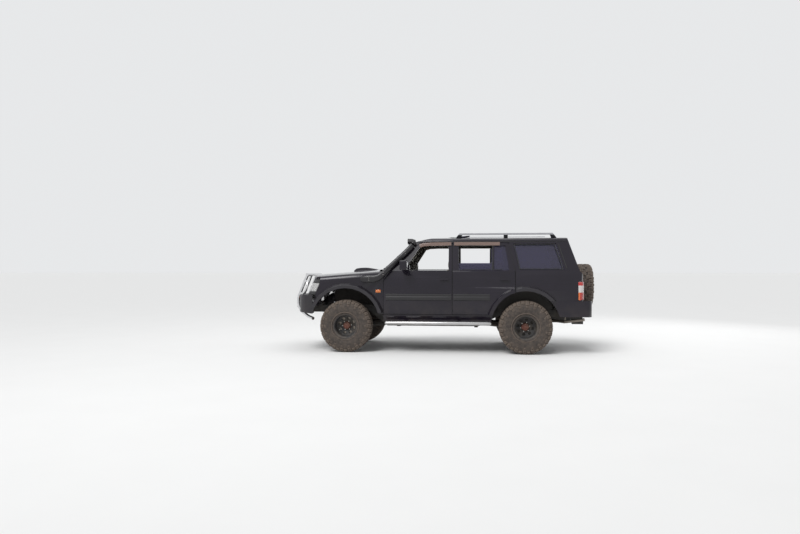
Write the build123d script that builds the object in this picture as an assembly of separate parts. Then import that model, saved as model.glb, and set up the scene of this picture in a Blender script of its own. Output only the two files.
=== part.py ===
"""Lifted five-door off-road estate on two solid axles, one STEP file per sub-part, in millimetres.

X runs rearward, Y to the vehicle's right, Z up from the floor. While modelling, X is counted
from the front axle. save() moves each piece so that X = 0 is the middle of the overall length.
"""
from build123d import *
from math import atan2, cos, degrees, hypot, pi, radians, sin, sqrt, tan
import os

# Overall layout
wheelbase = 2970.0
rear_face_x = wheelbase + 920.0
wheel_y = 822.0                 # middle plane of a tyre
bar_front_x = -940.0            # foremost point, the bull bar
spare_rear_x = rear_face_x + 300.0      # rearmost point, the spare tyre
origin_x = (bar_front_x + spare_rear_x) / 2

# Wheels and tyres
tyre_diameter = 875.0
tyre_width = 315.0
rim_diameter = 381.0
rim_width = 266.0
rim_wall = 9.0
disc_inset = 46.0               # mounting face inboard of the middle plane
disc_thickness = 12.0
hub_bore = 110.0
hub_reach = 57.0
hub_cap_radius = 24.0
rim_holes = 6
rim_hole_pitch = 122.0
rim_hole_radius = 26.0
lug_count = 16
tyre_profile = ((-0.5, 0.60), (-0.47, 0.82), (-0.36, 1.0), (0.36, 1.0), (0.47, 0.82), (0.5, 0.60))
lug_height = 17.0
lug_embed = 12.0
spare_diameter = 785.0
spare_width = 272.0
bead_fit = 0.3                  # tyre bore over the rim barrel
axle_z = tyre_diameter / 2

# Body heights and half widths
sill_z = 528.0
door_bottom_z = 640.0
belt_z = 1358.0
roof_z = 1942.0
shoulder_z = roof_z - 39.0
gutter_z = roof_z - 94.0
sill_y = 862.0
door_low_y = 905.0
body_y = 920.0
belt_y = 882.0
gutter_y = 744.0
mirror_y = 1146.0               # outer side of a mirror's head
shoulder_y = 694.0
widest_z = 980.0

# Panel thicknesses and gaps
side_thickness = 122.0          # lower body side, skin to inner trim
pillar_thickness = 62.0         # upper body side
roof_thickness = 36.0
flange_thickness = 26.0         # inner layer that the doors close against
door_rest_gap = 8.0             # door to that layer
panel_gap = 6.0
shut_gap = 13.0                 # free edge of a hinged door
flange_overlap = 36.0
glass_thickness = 8.0
glass_gap = 0.3
rest_gap = 0.6                  # a lid above its rubber stops, a shaft from its housing
skin = 24.0                     # wings and bonnet

# Body stations along X
door_front_x = 640.0
rear_shut_x = wheelbase - 170.0
rear_door_length = 1020.0
b_shut_x = rear_shut_x - rear_door_length
firewall_x = 600.0
floor_z = 556.0
floor_thickness = 18.0
load_floor_z = 742.0

# Wheel arches
front_arch_z = 490.0
front_arch_radius = 580.0
rear_arch_z = 470.0
rear_arch_radius = 560.0
flare_band = 90.0
arch_sides = 28
flare_y = 976.0
flare_thickness = 14.0

# Frame rails
rail_inner_y = 352.0
rail_width = 72.0
rail_depth = 130.0
rail_front_z = 640.0

os.makedirs("parts", exist_ok=True)


def save(name, *solids):
    """Write one node, moved to the origin of the whole vehicle."""
    moved = [solid.moved(Location((-origin_x, 0, 0))) for solid in solids]
    shape = moved[0] if len(moved) == 1 else Compound(children=moved)
    export_step(shape, f"parts/{name}.step")


def outline(rows, lift):
    """Closed face. A row (u, v) is a corner; (u, v, mu, mv) ends an arc that passes (mu, mv)."""
    corners = [lift(row[0], row[1]) for row in rows]
    edges = []
    for i, row in enumerate(rows):
        if len(row) == 4:
            edges.append(Edge.make_three_point_arc(corners[i - 1], lift(row[2], row[3]), corners[i]))
        else:
            edges.append(Edge.make_line(corners[i - 1], corners[i]))
    return Face(Wire(edges))


def straight(rows):
    """The same outline with each arc drawn as two straight runs, for faces that stay inside."""
    flat = []
    for row in rows:
        if len(row) == 4:
            flat.append((row[2], row[3]))
        flat.append((row[0], row[1]))
    return flat


def side_form(rows, y0, y1):
    """Outline in X and Z, drawn from y0 to y1."""
    return extrude(outline(rows, lambda x, z: (x, y0, z)), y1 - y0, dir=(0, 1, 0))


def cross_form(rows, x0, x1):
    """Outline in Y and Z, drawn from x0 to x1."""
    return extrude(outline(rows, lambda y, z: (x0, y, z)), x1 - x0, dir=(1, 0, 0))


def plan_form(rows, z0, z1):
    """Outline in X and Y, drawn from z0 to z1."""
    return extrude(outline(rows, lambda x, y: (x, y, z0)), z1 - z0, dir=(0, 0, 1))


def block(x0, x1, y0, y1, z0, z1):
    """Box between two corners."""
    return Pos((x0 + x1) / 2, (y0 + y1) / 2, (z0 + z1) / 2) * Box(x1 - x0, y1 - y0, z1 - z0)


def rod(start, end, radius):
    """Round bar from start to end."""
    path = Vector(*end) - Vector(*start)
    return Solid.make_cylinder(radius, path.length, Plane(origin=start, z_dir=path))


def bar(start, end, radius, sides=8):
    """Straight bar with flat sides, from start to end."""
    path = Vector(*end) - Vector(*start)
    return extrude(Plane(origin=start, z_dir=path) * RegularPolygon(radius, sides), path.length)


def faceted(rings, sides):
    """Solid about the Z axis with flat sides, through rings of (Z, inradius)."""
    step = 2 * pi / sides
    turns = [step * (i + 0.5) for i in range(sides)]
    corners = []
    for z, inradius in rings:
        reach = inradius / cos(step / 2)
        corners.append([(reach * cos(turn), reach * sin(turn), z) for turn in turns])
    faces = [Face(Wire.make_polygon(corners[0])), Face(Wire.make_polygon(corners[-1]))]
    for low, high in zip(corners, corners[1:]):
        for i in range(sides):
            j = (i + 1) % sides
            faces.append(Face(Wire.make_polygon([low[i], low[j], high[j], high[i]])))
    return Solid(Shell(faces))


def tube_run(points, radius):
    """Bent eight-sided tube through the points, mitred at each bend."""
    path = Polyline(*points)
    start = Plane(origin=points[0], z_dir=Vector(*points[1]) - Vector(*points[0]))
    return sweep(start * RegularPolygon(radius, 8), path=path, transition=Transition.RIGHT)


def both_sides(solid):
    """The piece and its mirror image on the other side of the vehicle."""
    return [solid, solid.mirror(Plane.XZ)]


def fused(first, *rest):
    """One solid from pieces that overlap."""
    shape = first
    for piece in rest:
        shape = shape + piece
    return shape


def arch_cut(x, z, radius, inner_y=-1200.0, outer_y=1200.0):
    """Round of short straight runs about a wheel's axis, for its opening."""
    plane = Plane(origin=(x, inner_y, z), x_dir=(1, 0, 0), z_dir=(0, 1, 0))
    face = plane * RegularPolygon(radius, arch_sides)
    return extrude(face, outer_y - inner_y)


# Cabin form: a cross-section drawn along X, trimmed by a side profile, a plan and the windscreen
screen_base = (604.0, 1306.0)           # X and Z of the front edge of the pillar, low
screen_top = (1173.0, gutter_z + 8.0)   # the same at the gutter
screen_bow = 88.0                       # middle of the glass ahead of its sides
rear_corner_radius = 95.0
screen_dir = Vector(screen_top[0] - screen_base[0], 0, screen_top[1] - screen_base[1]).normalized()
screen_out = Vector(-screen_dir.Z, 0, screen_dir.X)


def cabin_section(side, upper, roof):
    """Rows in Y and Z of the cabin, moved inward by side, upper and roof."""
    low = [(sill_y - side, sill_z - 10), (door_low_y - side, door_bottom_z)]
    bulge = (belt_y - side, belt_z, body_y - side, widest_z)
    upper_belt = (belt_y - upper, belt_z + 0.5)
    gutter = (gutter_y - upper, gutter_z - roof / 3)
    shoulder = (shoulder_y - upper, shoulder_z - roof, gutter_y - upper - 14, gutter_z - roof / 3 + 34)
    crown = (-shoulder[0], shoulder[1], 0, roof_z - roof)
    right = low + [bulge, upper_belt, gutter, shoulder]
    left = [
        (-gutter[0], gutter[1], -shoulder[2], shoulder[3]),
        (-upper_belt[0], upper_belt[1]),
        (-bulge[0], bulge[1]),
        (-low[1][0], low[1][1], -bulge[2], bulge[3]),
        (-low[0][0], low[0][1]),
    ]
    rows = right + [crown] + left
    return rows if side <= 0 else straight(rows)


def screen_band(outer, inner):
    """Curved slab along the windscreen between two offsets from its outer face."""
    reach = 1000.0
    radius = (belt_y**2 + screen_bow**2) / (2 * screen_bow)
    edge = screen_bow - radius + sqrt(radius**2 - reach**2)

    def lift(y, out):
        point = Vector(screen_base[0], 0, screen_base[1]) - screen_dir * 1500 + screen_out * out
        return (point.X, y, point.Z)

    rows = [
        (-reach, edge - inner),
        (-reach, edge - outer),
        (reach, edge - outer, 0, screen_bow - outer),
        (reach, edge - inner),
    ]
    if inner < 500:
        rows[0] = (-reach, edge - inner, 0, screen_bow - inner)
    return extrude(outline(rows, lift), 5200, dir=screen_dir)


def cabin_profile(inset):
    """Side view of the cabin: an arched roof and a rear face that leans forward above the belt."""
    top = roof_z - inset
    rear = rear_face_x
    rows = [
        (300, 300),
        (300, top - 242),
        (1010, top - 146),
        (1560, top - 20, 1300, top - 66),
        (rear - 330, top - 16, wheelbase - 570, top + 3),
        (rear - 226, gutter_z + 22 - inset / 2, rear - 250, top - 24),
        (rear - 54 - inset / 2, belt_z - 6),
        (rear - inset / 2, belt_z - 110, rear - 12 - inset / 2, belt_z - 50),
        (rear - inset / 2, 300),
    ]
    return rows if inset <= 0 else straight(rows)


def rear_plan(inset):
    """Plan of the cabin, with round rear corners."""
    half = body_y + 20 - inset
    rear = rear_face_x - inset
    r = rear_corner_radius
    k = r * (1 - sqrt(0.5))
    return [
        (0, -half),
        (rear - r - 120, -half),
        (rear - r, -half + 22, rear - r - 60, -half + 6),
        (rear, -half + 22 + r, rear - k, -half + 22 + k),
        (rear, half - 22 - r),
        (rear - r, half - 22, rear - k, half - 22 - k),
        (rear - r - 120, half, rear - r - 60, half - 6),
        (0, half),
    ]


def cabin(side=0.0, upper=0.0, roof=0.0, screen=0.0):
    """Solid cabin form, or the space inside it when the insets are given."""
    form = cross_form(cabin_section(side, upper, roof), 300, rear_face_x + 200)
    form = form & side_form(cabin_profile(roof), -1100, 1100)
    return form & screen_band(screen, 5000)


cabin_outer = cabin() & plan_form(rear_plan(0), 200, 2200)
cabin_space = cabin(side_thickness, pillar_thickness, roof_thickness)
door_space = cabin(side_thickness - flange_thickness, pillar_thickness - flange_thickness, 0)
rest_space = cabin(
    side_thickness - flange_thickness - door_rest_gap,
    pillar_thickness - flange_thickness - door_rest_gap,
    0,
)

# Side windows and doors in side view
pillar_front = 66.0             # width of the pillar ahead of the door frame
frame_width = 46.0              # door frame round its window
header = 26.0                   # door top below the gutter
door_top_z = gutter_z - header
window_base_z = belt_z + 8.0


def pillar_x(z, back=0.0):
    """X of the line parallel to the windscreen, measured square to it by back."""
    run = (z - screen_base[1]) * (screen_top[0] - screen_base[0]) / (screen_top[1] - screen_base[1])
    return screen_base[0] + run + back / screen_dir.Z


def rear_shut(z):
    """X of the rear door's shut line, which leans forward above the belt."""
    lean = max(0.0, z - belt_z) * 110.0 / (gutter_z - belt_z)
    return rear_shut_x - lean


def front_door_rows(grow):
    """Outline of a front door, moved out by grow on its fixed sides."""
    x0 = door_front_x - grow
    x1 = b_shut_x - shut_gap / 2 + (shut_gap if grow else 0)
    top = door_top_z + grow
    return [
        (x0, door_bottom_z - grow),
        (x0, 1196),
        (pillar_x(belt_z, pillar_front - grow), belt_z),
        (pillar_x(top, pillar_front - grow), top),
        (x1, top),
        (x1, door_bottom_z - grow),
    ]


def rear_door_rows(grow):
    """Outline of a rear door before the wheel opening is cut."""
    x0 = b_shut_x + shut_gap / 2 - (shut_gap if grow else 0)
    back = shut_gap if grow else 0
    top = door_top_z + grow
    return [
        (x0, door_bottom_z - grow),
        (x0, top),
        (rear_shut(top) + back, top),
        (rear_shut(belt_z) + back, belt_z),
        (rear_shut_x + back, door_bottom_z - grow),
    ]


def front_window_rows(grow):
    """Opening of the front window."""
    base = window_base_z - grow
    top = door_top_z - frame_width + grow
    x0 = door_front_x + 430 - grow
    x1 = b_shut_x - frame_width - 16 + grow
    slope_z = base + 60
    return [
        (x0, base),
        (pillar_x(slope_z, 0) + 290 - grow, slope_z),
        (pillar_x(top, pillar_front + frame_width - grow), top),
        (x1, top),
        (x1, base),
    ]


def rear_window_rows(grow):
    """Opening of the rear side window with its fixed light."""
    base = window_base_z - grow
    top = door_top_z - frame_width + grow
    x0 = b_shut_x + frame_width + 60 - grow
    back = frame_width + 12 - grow
    return [(x0, base), (x0, top), (rear_shut(top) - back, top), (rear_shut(base) - back - 30, base)]


def quarter_rows(grow):
    """Opening of the load-space side window."""
    base = window_base_z + 10 - grow
    top = door_top_z - 14 + grow
    x0 = rear_shut_x + 66 - grow
    x1 = rear_face_x - 300 + grow
    return [(x0 + 8, base), (x0 - 92, top), (x1 - 118, top), (x1, base)]


def side_band(rows, y0=500.0, y1=1100.0):
    """Side outline drawn through both sides of the vehicle."""
    return side_form(rows, y0, y1) + side_form(rows, -y1, -y0)


cabin_shell = cabin_outer - cabin_space
door_layer = cabin_outer - rest_space
flange_layer = door_space - cabin_space

# Body sides: sill, pillars, cant rail and rear quarter, with an inner flange behind each door
rear_opening_y = 690.0          # rear door opening, half width at and below the belt
rear_opening_top_y = 636.0
rear_opening_z = 872.0 + panel_gap      # just above the rear bumper
rear_header_z = gutter_z - 22
rear_step_z = 682.0             # low middle of the bumper under the doors and the spare wheel


def rear_door_outline(grow):
    """Rear door opening in Y and Z."""
    low = rear_opening_y + grow
    high = rear_opening_top_y + grow
    z0 = rear_opening_z - grow
    z1 = rear_header_z + grow
    return [(-low, z0), (low, z0), (low, belt_z), (high, z1), (-high, z1), (-low, belt_z)]


lamp_front_x = rear_face_x - 84
lamp_stand = 12.0               # lamps proud of the rear face
lamp_inner_y = rear_opening_y + 12
lamp_low_z = 886.0
lamp_high_z = 1178.0


def lamp_pocket(grow, stand):
    """Block round a rear corner lamp on the right-hand side."""
    return block(
        lamp_front_x - grow, rear_face_x + stand, lamp_inner_y - grow, 1000, lamp_low_z - grow, lamp_high_z + grow
    )


header_y = gutter_y - pillar_thickness - 4      # the roof's front header ends at the pillars
arch_openings = arch_cut(0, front_arch_z, front_arch_radius)
arch_openings = arch_openings + arch_cut(wheelbase, rear_arch_z, rear_arch_radius)


def inset_rows(rows, amount):
    """The same convex outline moved inward, as a face outline scaled about its middle."""
    xs = [row[0] for row in rows]
    zs = [row[1] for row in rows]
    mid_x = (min(xs) + max(xs)) / 2
    mid_z = (min(zs) + max(zs)) / 2
    kx = 1 - 2 * amount / (max(xs) - min(xs))
    kz = 1 - 2 * amount / (max(zs) - min(zs))
    return [(mid_x + (row[0] - mid_x) * kx, mid_z + (row[1] - mid_z) * kz) for row in rows]


roof_middle = block(0, wheelbase - 570, -header_y, header_y, gutter_z - 148, 2300)


def build_body_sides():
    """Both body sides, and the panel between the bumper and the back doors."""
    door_holes = side_band(front_door_rows(panel_gap)) + side_band(rear_door_rows(panel_gap))
    flange_holes = side_band(inset_rows(front_door_rows(0), flange_overlap))
    flange_holes = flange_holes + side_band(inset_rows(rear_door_rows(0), flange_overlap))
    outer = (cabin_outer - door_space) - door_holes
    inner = flange_layer - flange_holes
    sides = outer + inner
    sides = sides - side_band(quarter_rows(0))
    sides = sides - arch_openings
    sides = sides - block(0, 5000, -1200, 1200, gutter_z, 2300) - roof_middle
    wing_room = front_form(-1) & block(0, door_front_x - panel_gap, -1200, 1200, 0, 1500)
    sides = sides - wing_room - block(0, door_front_x - panel_gap, -1200, 1200, 0, 1230)
    rear_hole = cross_form(rear_door_outline(panel_gap), rear_face_x - 400, rear_face_x + 100)
    sides = sides - rear_hole - block(3000, 5000, -header_y, header_y, rear_header_z + panel_gap, 2300)
    sides = sides - block(rear_face_x - 400, rear_face_x + 60, -1200, 1200, 0, rear_opening_z - panel_gap)
    valance = cabin_outer & block(
        rear_face_x - 40, rear_face_x, -rear_opening_y, rear_opening_y, rear_step_z, rear_opening_z - panel_gap
    )
    sides = sides + valance
    pocket = lamp_pocket(rest_gap, 60)
    sides = sides - pocket - pocket.mirror(Plane.XZ)
    return sides


def build_roof():
    """Roof skin with its front header and a rear header over the back doors."""
    skin_part = cabin_shell & (block(0, 5000, -1200, 1200, gutter_z, 2300) + roof_middle)
    rear = cabin_outer & block(rear_face_x - 292, rear_face_x, -header_y, header_y, rear_header_z + panel_gap, 2300)
    sunroof_hole = block(sunroof_x, sunroof_x + sunroof_length, -sunroof_half, sunroof_half, 1700, 2300)
    return skin_part + rear - sunroof_hole


# Roof fittings
sunroof_x = b_shut_x - 140.0
sunroof_length = 430.0
sunroof_half = 410.0
sunroof_tilt = 5.5
rail_y = shoulder_y - 76.0
rail_front_x = b_shut_x + 42.0
rail_rear_x = rear_face_x - 385.0
rail_top_z = roof_z + 50.0
rail_height = 30.0
rail_thickness = 34.0
rail_foot_length = 92.0


def build_sunroof():
    """Glass panel hinged at its front edge and raised at the back."""
    half = sunroof_half - rest_gap
    x = sunroof_x + rest_gap
    panel = block(x, x + sunroof_length - 8, -half, half, roof_z - 27, roof_z - 27 + glass_thickness)
    axis = Axis((x, 0, roof_z - 27 + glass_thickness / 2), (0, 1, 0))
    return panel.rotate(axis, -sunroof_tilt)


def build_roof_rails():
    """A bar along each side of the roof, on feet at both ends and in the middle."""
    low = shoulder_z - 4
    top = rail_top_z
    rows = [
        (rail_front_x, low),
        (rail_front_x + rail_foot_length - 20, top),
        (rail_rear_x - rail_foot_length + 20, top),
        (rail_rear_x, low),
        (rail_rear_x - rail_foot_length, low),
        (rail_rear_x - rail_foot_length - 26, top - rail_height),
        (rail_front_x + rail_foot_length + 26, top - rail_height),
        (rail_front_x + rail_foot_length, low),
    ]
    bar = side_form(rows, rail_y - rail_thickness / 2, rail_y + rail_thickness / 2)
    middle = (rail_front_x + rail_rear_x) / 2
    foot = block(
        middle - 34, middle + 34, rail_y - rail_thickness / 2, rail_y + rail_thickness / 2, low, top - rail_height / 2
    )
    return both_sides((bar + foot) - cabin_outer)


# Doors
hinge_y = body_y


def build_side_door(side_rows, window, right):
    """Door as thick as the body side, with its window cut through."""
    door = door_layer & side_form(side_rows, 500, 1100)
    door = door - side_form(window, 400, 1200)
    door = door - arch_openings
    return door if right else door.mirror(Plane.XZ)


def mirror_head():
    """Door mirror on the right-hand side, on a short arm."""
    x0 = door_front_x + 292
    head = block(x0, x0 + 118, mirror_y - 184, mirror_y, belt_z + 14, belt_z + 172)
    head = chamfer(head.edges().filter_by(Axis.X), 22)
    arm = block(x0 + 44, x0 + 104, belt_y - 44, 990, belt_z + 18, belt_z + 52)
    foot = side_form(
        [(x0 + 20, belt_z + 1), (x0 + 92, belt_z + 96), (x0 + 138, belt_z + 96), (x0 + 138, belt_z + 1)],
        belt_y - 64, belt_y - 20,
    )
    return fused(head, arm, foot)


handle_z = belt_z - 154


def door_handle(x0, z0):
    """Pull handle on the right-hand side."""
    grip = block(x0, x0 + 150, body_y - 20, body_y + 24, z0, z0 + 34)
    hand_room = block(x0 + 26, x0 + 124, body_y - 2, body_y + 12, z0 - 10, z0 + 44)
    return grip - hand_room


# Flares round the wheel openings
def flare_ring(x, z, radius):
    """Flare on the right-hand side: a band round the opening, bevelled to the body."""
    shrink = cos(pi / arch_sides)
    rings = ((-90, (radius + flare_band) * shrink), (0, (radius + flare_band - 34) * shrink))
    outer = Pos(x, flare_y, z) * Rot(-90, 0, 0) * faceted(rings, arch_sides)
    core = arch_cut(x, z, radius, flare_y - 200, flare_y + 100)
    lip_space = arch_cut(x, z, radius + 22, flare_y - 120, flare_y - flare_thickness)
    return (outer - core) - lip_space


def build_flares():
    """Front flares on the wings and the rear parts of the rear flares on the body sides."""
    front = flare_ring(0, front_arch_z, front_arch_radius)
    front = front & block(-front_arch_radius + 20, door_front_x - panel_gap - 4, 700, 1100, 660, 1400)
    front = front - front_body
    rear = flare_ring(wheelbase, rear_arch_z, rear_arch_radius)
    rear = rear & block(rear_shut_x + shut_gap, rear_face_x - 300, 700, 1100, 872, 1400)
    rear = rear - cabin_outer
    return both_sides(front) + both_sides(rear)


def rear_door_flare():
    """Front part of a rear flare, carried on the door."""
    flare = flare_ring(wheelbase, rear_arch_z, rear_arch_radius)
    return flare & block(rear_shut_x - 700, rear_shut_x, 860, 1100, door_bottom_z, 1400)


# Front end
bonnet_nose_z = 1246.0
bonnet_lip_z = 1220.0
bonnet_rise = atan2(1344 - 1250, 640 + 523)
nose_x = -775.0                 # middle of the nose at the height of nose_bottom_z
nose_side_x = -692.0
nose_side_y = 700.0
nose_lean = radians(24.0)       # the nose leans back above that height
wing_y = 904.0
wing_split_y = 796.0            # line between wing and bonnet
nose_bottom_z = 958.0
front_split_rows = ((-516.0, 993.0), (-450.0, 1140.0), (-436.0, 1400.0))   # wing's front edge


def front_form(inset):
    """Solid nose of the body: a crowned section drawn along the bonnet's slope, cut to its plan."""
    x0 = -980.0
    drop = (x0 + 523) * tan(bonnet_rise)
    edge = bonnet_nose_z + 10 + drop - inset
    crown = edge + 46
    wing = wing_y - inset
    rows = [
        (-wing + 12, 300),
        (-wing, edge - 96),
        (-wing_split_y, edge, -wing + 22, edge - 26),
        (wing_split_y, edge, 0, crown),
        (wing, edge - 96, wing - 22, edge - 26),
        (wing - 12, 300),
    ]
    if inset > 0:
        rows = straight(rows)
    slope = Vector(cos(bonnet_rise), 0, sin(bonnet_rise))
    up = Vector(-sin(bonnet_rise), 0, cos(bonnet_rise))

    def square_to_slope(y, z):
        point = Vector(x0, y, 0) + up * (z * cos(bonnet_rise))
        return (point.X, point.Y, point.Z)

    form = extrude(outline(rows, square_to_slope), 2000, dir=slope)
    front = nose_x + inset
    corner = nose_side_x + inset
    turn = (corner + 190, wing + 26)
    plan_rows = [
        (900, -turn[1]),
        (turn[0], -turn[1]),
        (corner, -nose_side_y, corner + 72, -nose_side_y - 132),
        (corner, nose_side_y, front, 0),
        (turn[0], turn[1], corner + 72, nose_side_y + 132),
        (900, turn[1]),
    ]
    if inset > 0:
        plan_rows = straight(plan_rows)
    lean = Vector(sin(nose_lean), 0, cos(nose_lean))
    across = Vector(cos(nose_lean), 0, -sin(nose_lean))

    def square_to_lean(x, y):
        point = Vector(0, y, nose_bottom_z) + across * (x * cos(nose_lean)) - lean * 700
        return (point.X, point.Y, point.Z)

    trim = extrude(outline(plan_rows, square_to_lean), 1800, dir=lean)
    return (form & trim) - block(660, 2000, -1200, 1200, 0, 2000)


front_body = front_form(0)
front_shell = front_body - front_form(skin)
bonnet_rear_x = door_front_x - 18
cowl_gap = 42.0                 # bonnet's rear edge ahead of the glass
cowl_depth = 26.0               # cowl below the bonnet's surface


def bonnet_region(grow):
    """Space of the bonnet between the wings, down to its front lip."""
    y = wing_split_y - panel_gap / 2 + grow
    return block(-900, bonnet_rear_x + grow, -y, y, bonnet_lip_z - grow, 1700)


def build_bonnet():
    """Bonnet skin with stiffening rim, nose lip and intake scoop."""
    skin_part = front_shell & bonnet_region(0)
    scoop = side_form(
        [(14, 1290), (14, 1366), (60, 1402), (277, 1412, 160, 1414), (436, 1386), (470, 1340), (470, 1290)],
        -240, 240,
    )
    scoop = scoop & cross_form([(-240, 1200), (-190, 1440), (190, 1440), (240, 1200)], 0, 700)
    mouth = side_form([(-10, 1250), (-10, 1384), (120, 1388), (120, 1250)], -168, 168)
    scoop = (scoop - mouth) - front_form(skin - 1)
    return (skin_part + scoop) - screen_band(-cowl_gap, 5000)


def wing_region():
    """Side outline of a wing."""
    (xa, za), (xb, zb), (xc, zc) = front_split_rows
    return [
        (xa, nose_bottom_z),
        (xa, za),
        (xb, zb),
        (xc, zc),
        (door_front_x - panel_gap, zc),
        (door_front_x - panel_gap, door_bottom_z),
        (xa, door_bottom_z),
    ]


def build_wings():
    """Both front wings, each with the liner over its wheel."""
    wing = front_shell & side_form(wing_region(), wing_split_y + panel_gap / 2, 1000)
    side_wall = front_shell & side_form(wing_region(), 620, 1000)
    side_wall = side_wall & block(-2000, 2000, 0, 1200, 0, bonnet_lip_z - panel_gap)
    liner = arch_cut(0, front_arch_z, front_arch_radius + 8)
    liner = liner & block(-516, door_front_x - 40, 560, wing_y - 8, 640, 1400)
    wing = wing + side_wall + liner
    wing = wing - arch_cut(0, front_arch_z, front_arch_radius)
    return both_sides(wing)


lamp_rows = [(390, 1012), (390, 1150), (1000, 1150), (1000, 1012)]


def behind_split(ahead):
    """Side outline of everything behind the wing's front edge, moved ahead."""
    (xa, za), (xb, zb), (xc, zc) = front_split_rows
    return [(xa - ahead, 800), (xa - ahead, za), (xb - ahead, zb), (xc - ahead, zc), (0, zc), (0, 800)]


def build_grille_panel():
    """Nose panel round the lamps, with the grille bars standing in its opening."""
    top = bonnet_lip_z - panel_gap
    panel = front_shell & block(-900, -400, -1000, 1000, nose_bottom_z, top)
    panel = panel - side_form(behind_split(1), -1000, 1000)
    panel = panel - cross_form([(-340, 1000), (-340, 1178), (340, 1178), (340, 1000)], -900, -500)
    for side in (1, -1):
        rows = [(side * y, z) for y, z in lamp_rows]
        panel = panel - cross_form(rows, -900, -300)
    middle = front_body - front_form(46)
    for z in (1022, 1062, 1102, 1142):
        panel = panel + (middle & block(-900, -560, -345, 345, z, z + 18))
    for y in (-118, 118):
        panel = panel + (middle & block(-900, -560, y - 10, y + 10, 998, 1182))
    for y in (-500, 500):
        panel = panel + (front_shell & block(-900, -400, y - 12, y + 12, top - 1, bonnet_lip_z - rest_gap))
    return panel


def build_head_lamps():
    """Head lamp and corner lamp in one unit on each side."""
    (y0, z0), (_, z1) = lamp_rows[:2]
    lamp = (front_body - front_form(70)) & block(-900, -400, y0 + rest_gap, 1000, z0 + rest_gap, z1 - rest_gap)
    lamp = lamp - side_form(behind_split(2), -1000, 1000)
    return lamp


def bumper_plan(inset):
    """Front bumper in plan."""
    front = bumper_front_x + inset
    half = bumper_half - inset
    return [
        (bumper_end_x, -half),
        (-700, -half + 14),
        (front + 58, -half + 300, -790, -half + 96),
        (front + 58, half - 300, front, 0),
        (-700, half - 14, -790, half - 96),
        (bumper_end_x, half),
    ]


bumper_front_x = -868.0
bumper_half = 930.0
bumper_end_x = -566.0
bumper_low_z = 640.0
bumper_high_z = 953.0
bumper_wall = 40.0


def build_front_bumper():
    """Bumper shell with its top shelf, an air opening and a swept lower edge."""
    outer = plan_form(bumper_plan(0), bumper_low_z, bumper_high_z)
    inner = plan_form(straight(bumper_plan(bumper_wall)), bumper_low_z - 10, bumper_high_z - 26)
    shell = outer - inner
    shell = shell - (front_form(-4) & block(-2000, 2000, -1200, 1200, nose_bottom_z - 20, 3000))
    shell = shell - block(-1000, -700, -330, 330, 735, 850)
    sweep_cut = side_form([(-1000, 560), (-1000, 690), (-560, 636), (-400, 560)], -1200, 1200)
    shell = shell - sweep_cut
    bracket = block(
        bumper_front_x + 30, bumper_front_x + 90, rail_inner_y + 4, rail_inner_y + rail_width - 4,
        rail_front_z + 30, rail_front_z + 100,
    )
    return shell + bracket + bracket.mirror(Plane.XZ)


# Bull bar of bent tube
bar_radius = 27.0
bar_y = 520.0


def build_bull_bar():
    """Front guard: two hoops with lamp loops, cross tubes and lower side arms."""
    x = bar_front_x + bar_radius
    hoop = [
        (x + 150, -470, 1290),
        (x + 74, -498, 1100),
        (x, -bar_y, 890),
        (x, -bar_y, 780),
        (x + 44, -bar_y - 14, 668),
        (x + 210, -bar_y - 130, 572),
        (x + 318, -bar_y - 236, 548),
    ]
    pieces = []
    for side in (1, -1):
        pieces.append(tube_run([(px, side * py, pz) for px, py, pz in hoop], bar_radius))
        loop = [
            (x + 116, side * -486, 1180),
            (x + 200, side * -700, 1176),
            (x + 216, side * -742, 1120),
            (x + 170, side * -720, 984),
            (x + 22, side * -514, 960),
        ]
        pieces.append(tube_run(loop, bar_radius - 6))
        pieces.append(block(x, bumper_front_x + 120, side * 388 - 8, side * 388 + 8, 700, 790))
    for dx, z in ((150, 1290), (6, 920), (0, 740)):
        pieces.append(bar((x + dx, -bar_y + 4, z), (x + dx, bar_y - 4, z), bar_radius))
    for y in (-180, 180):
        pieces.append(tube_run([(x + 150, y, 1290), (x + 74, y, 1100), (x + 6, y, 920)], bar_radius - 6))
    return fused(*pieces) - plan_form(bumper_plan(0), bumper_low_z, bumper_high_z)


# Rear end
rear_hinge_x = rear_face_x + 6
rear_split_y = -196.0
rear_split_gap = 22.0
rear_door_thickness = 78.0
rear_frame_thickness = 34.0
spare_y = 196.0
spare_z = 1088.0


def build_rear_door(y0, y1):
    """Back door between two planes, thick below the belt and thin round its window."""
    outer = cabin_outer & cross_form(rear_door_outline(0), rear_face_x - 330, rear_face_x + 60)
    outer = outer & block(3000, 5000, y0, y1, 500, 2200)
    low = side_form(
        [(rear_face_x - rear_door_thickness, 600), (rear_face_x - rear_door_thickness, belt_z - 118),
         (rear_face_x - rear_door_thickness - 30, belt_z - 20), (rear_face_x + 40, belt_z - 20), (rear_face_x + 40, 600)],
        -1000, 1000,
    )
    frame = outer - (cabin_rear_space & block(3000, 5000, -1000, 1000, belt_z - 60, 2200))
    door = (outer & low) + (frame & block(3000, 5000, -1000, 1000, belt_z - 60, 2200))
    window = cross_form(rear_window_outline(y0, y1), rear_face_x - 490, rear_face_x + 310)
    return door - window


def rear_window_outline(y0, y1):
    """Window of a back door, inside its frame."""
    low = belt_z + 24
    high = rear_header_z - 40
    rows = []
    for y, z in ((y0, low), (y1, low), (y1, high), (y0, high)):
        edge = 44 if abs(y) < 400 else 52
        lean = 0 if abs(y) < 400 or z == low else rear_opening_y - rear_opening_top_y
        inward = 1 if y == y0 else -1
        rows.append((y + inward * (edge + lean), z))
    return rows


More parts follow.
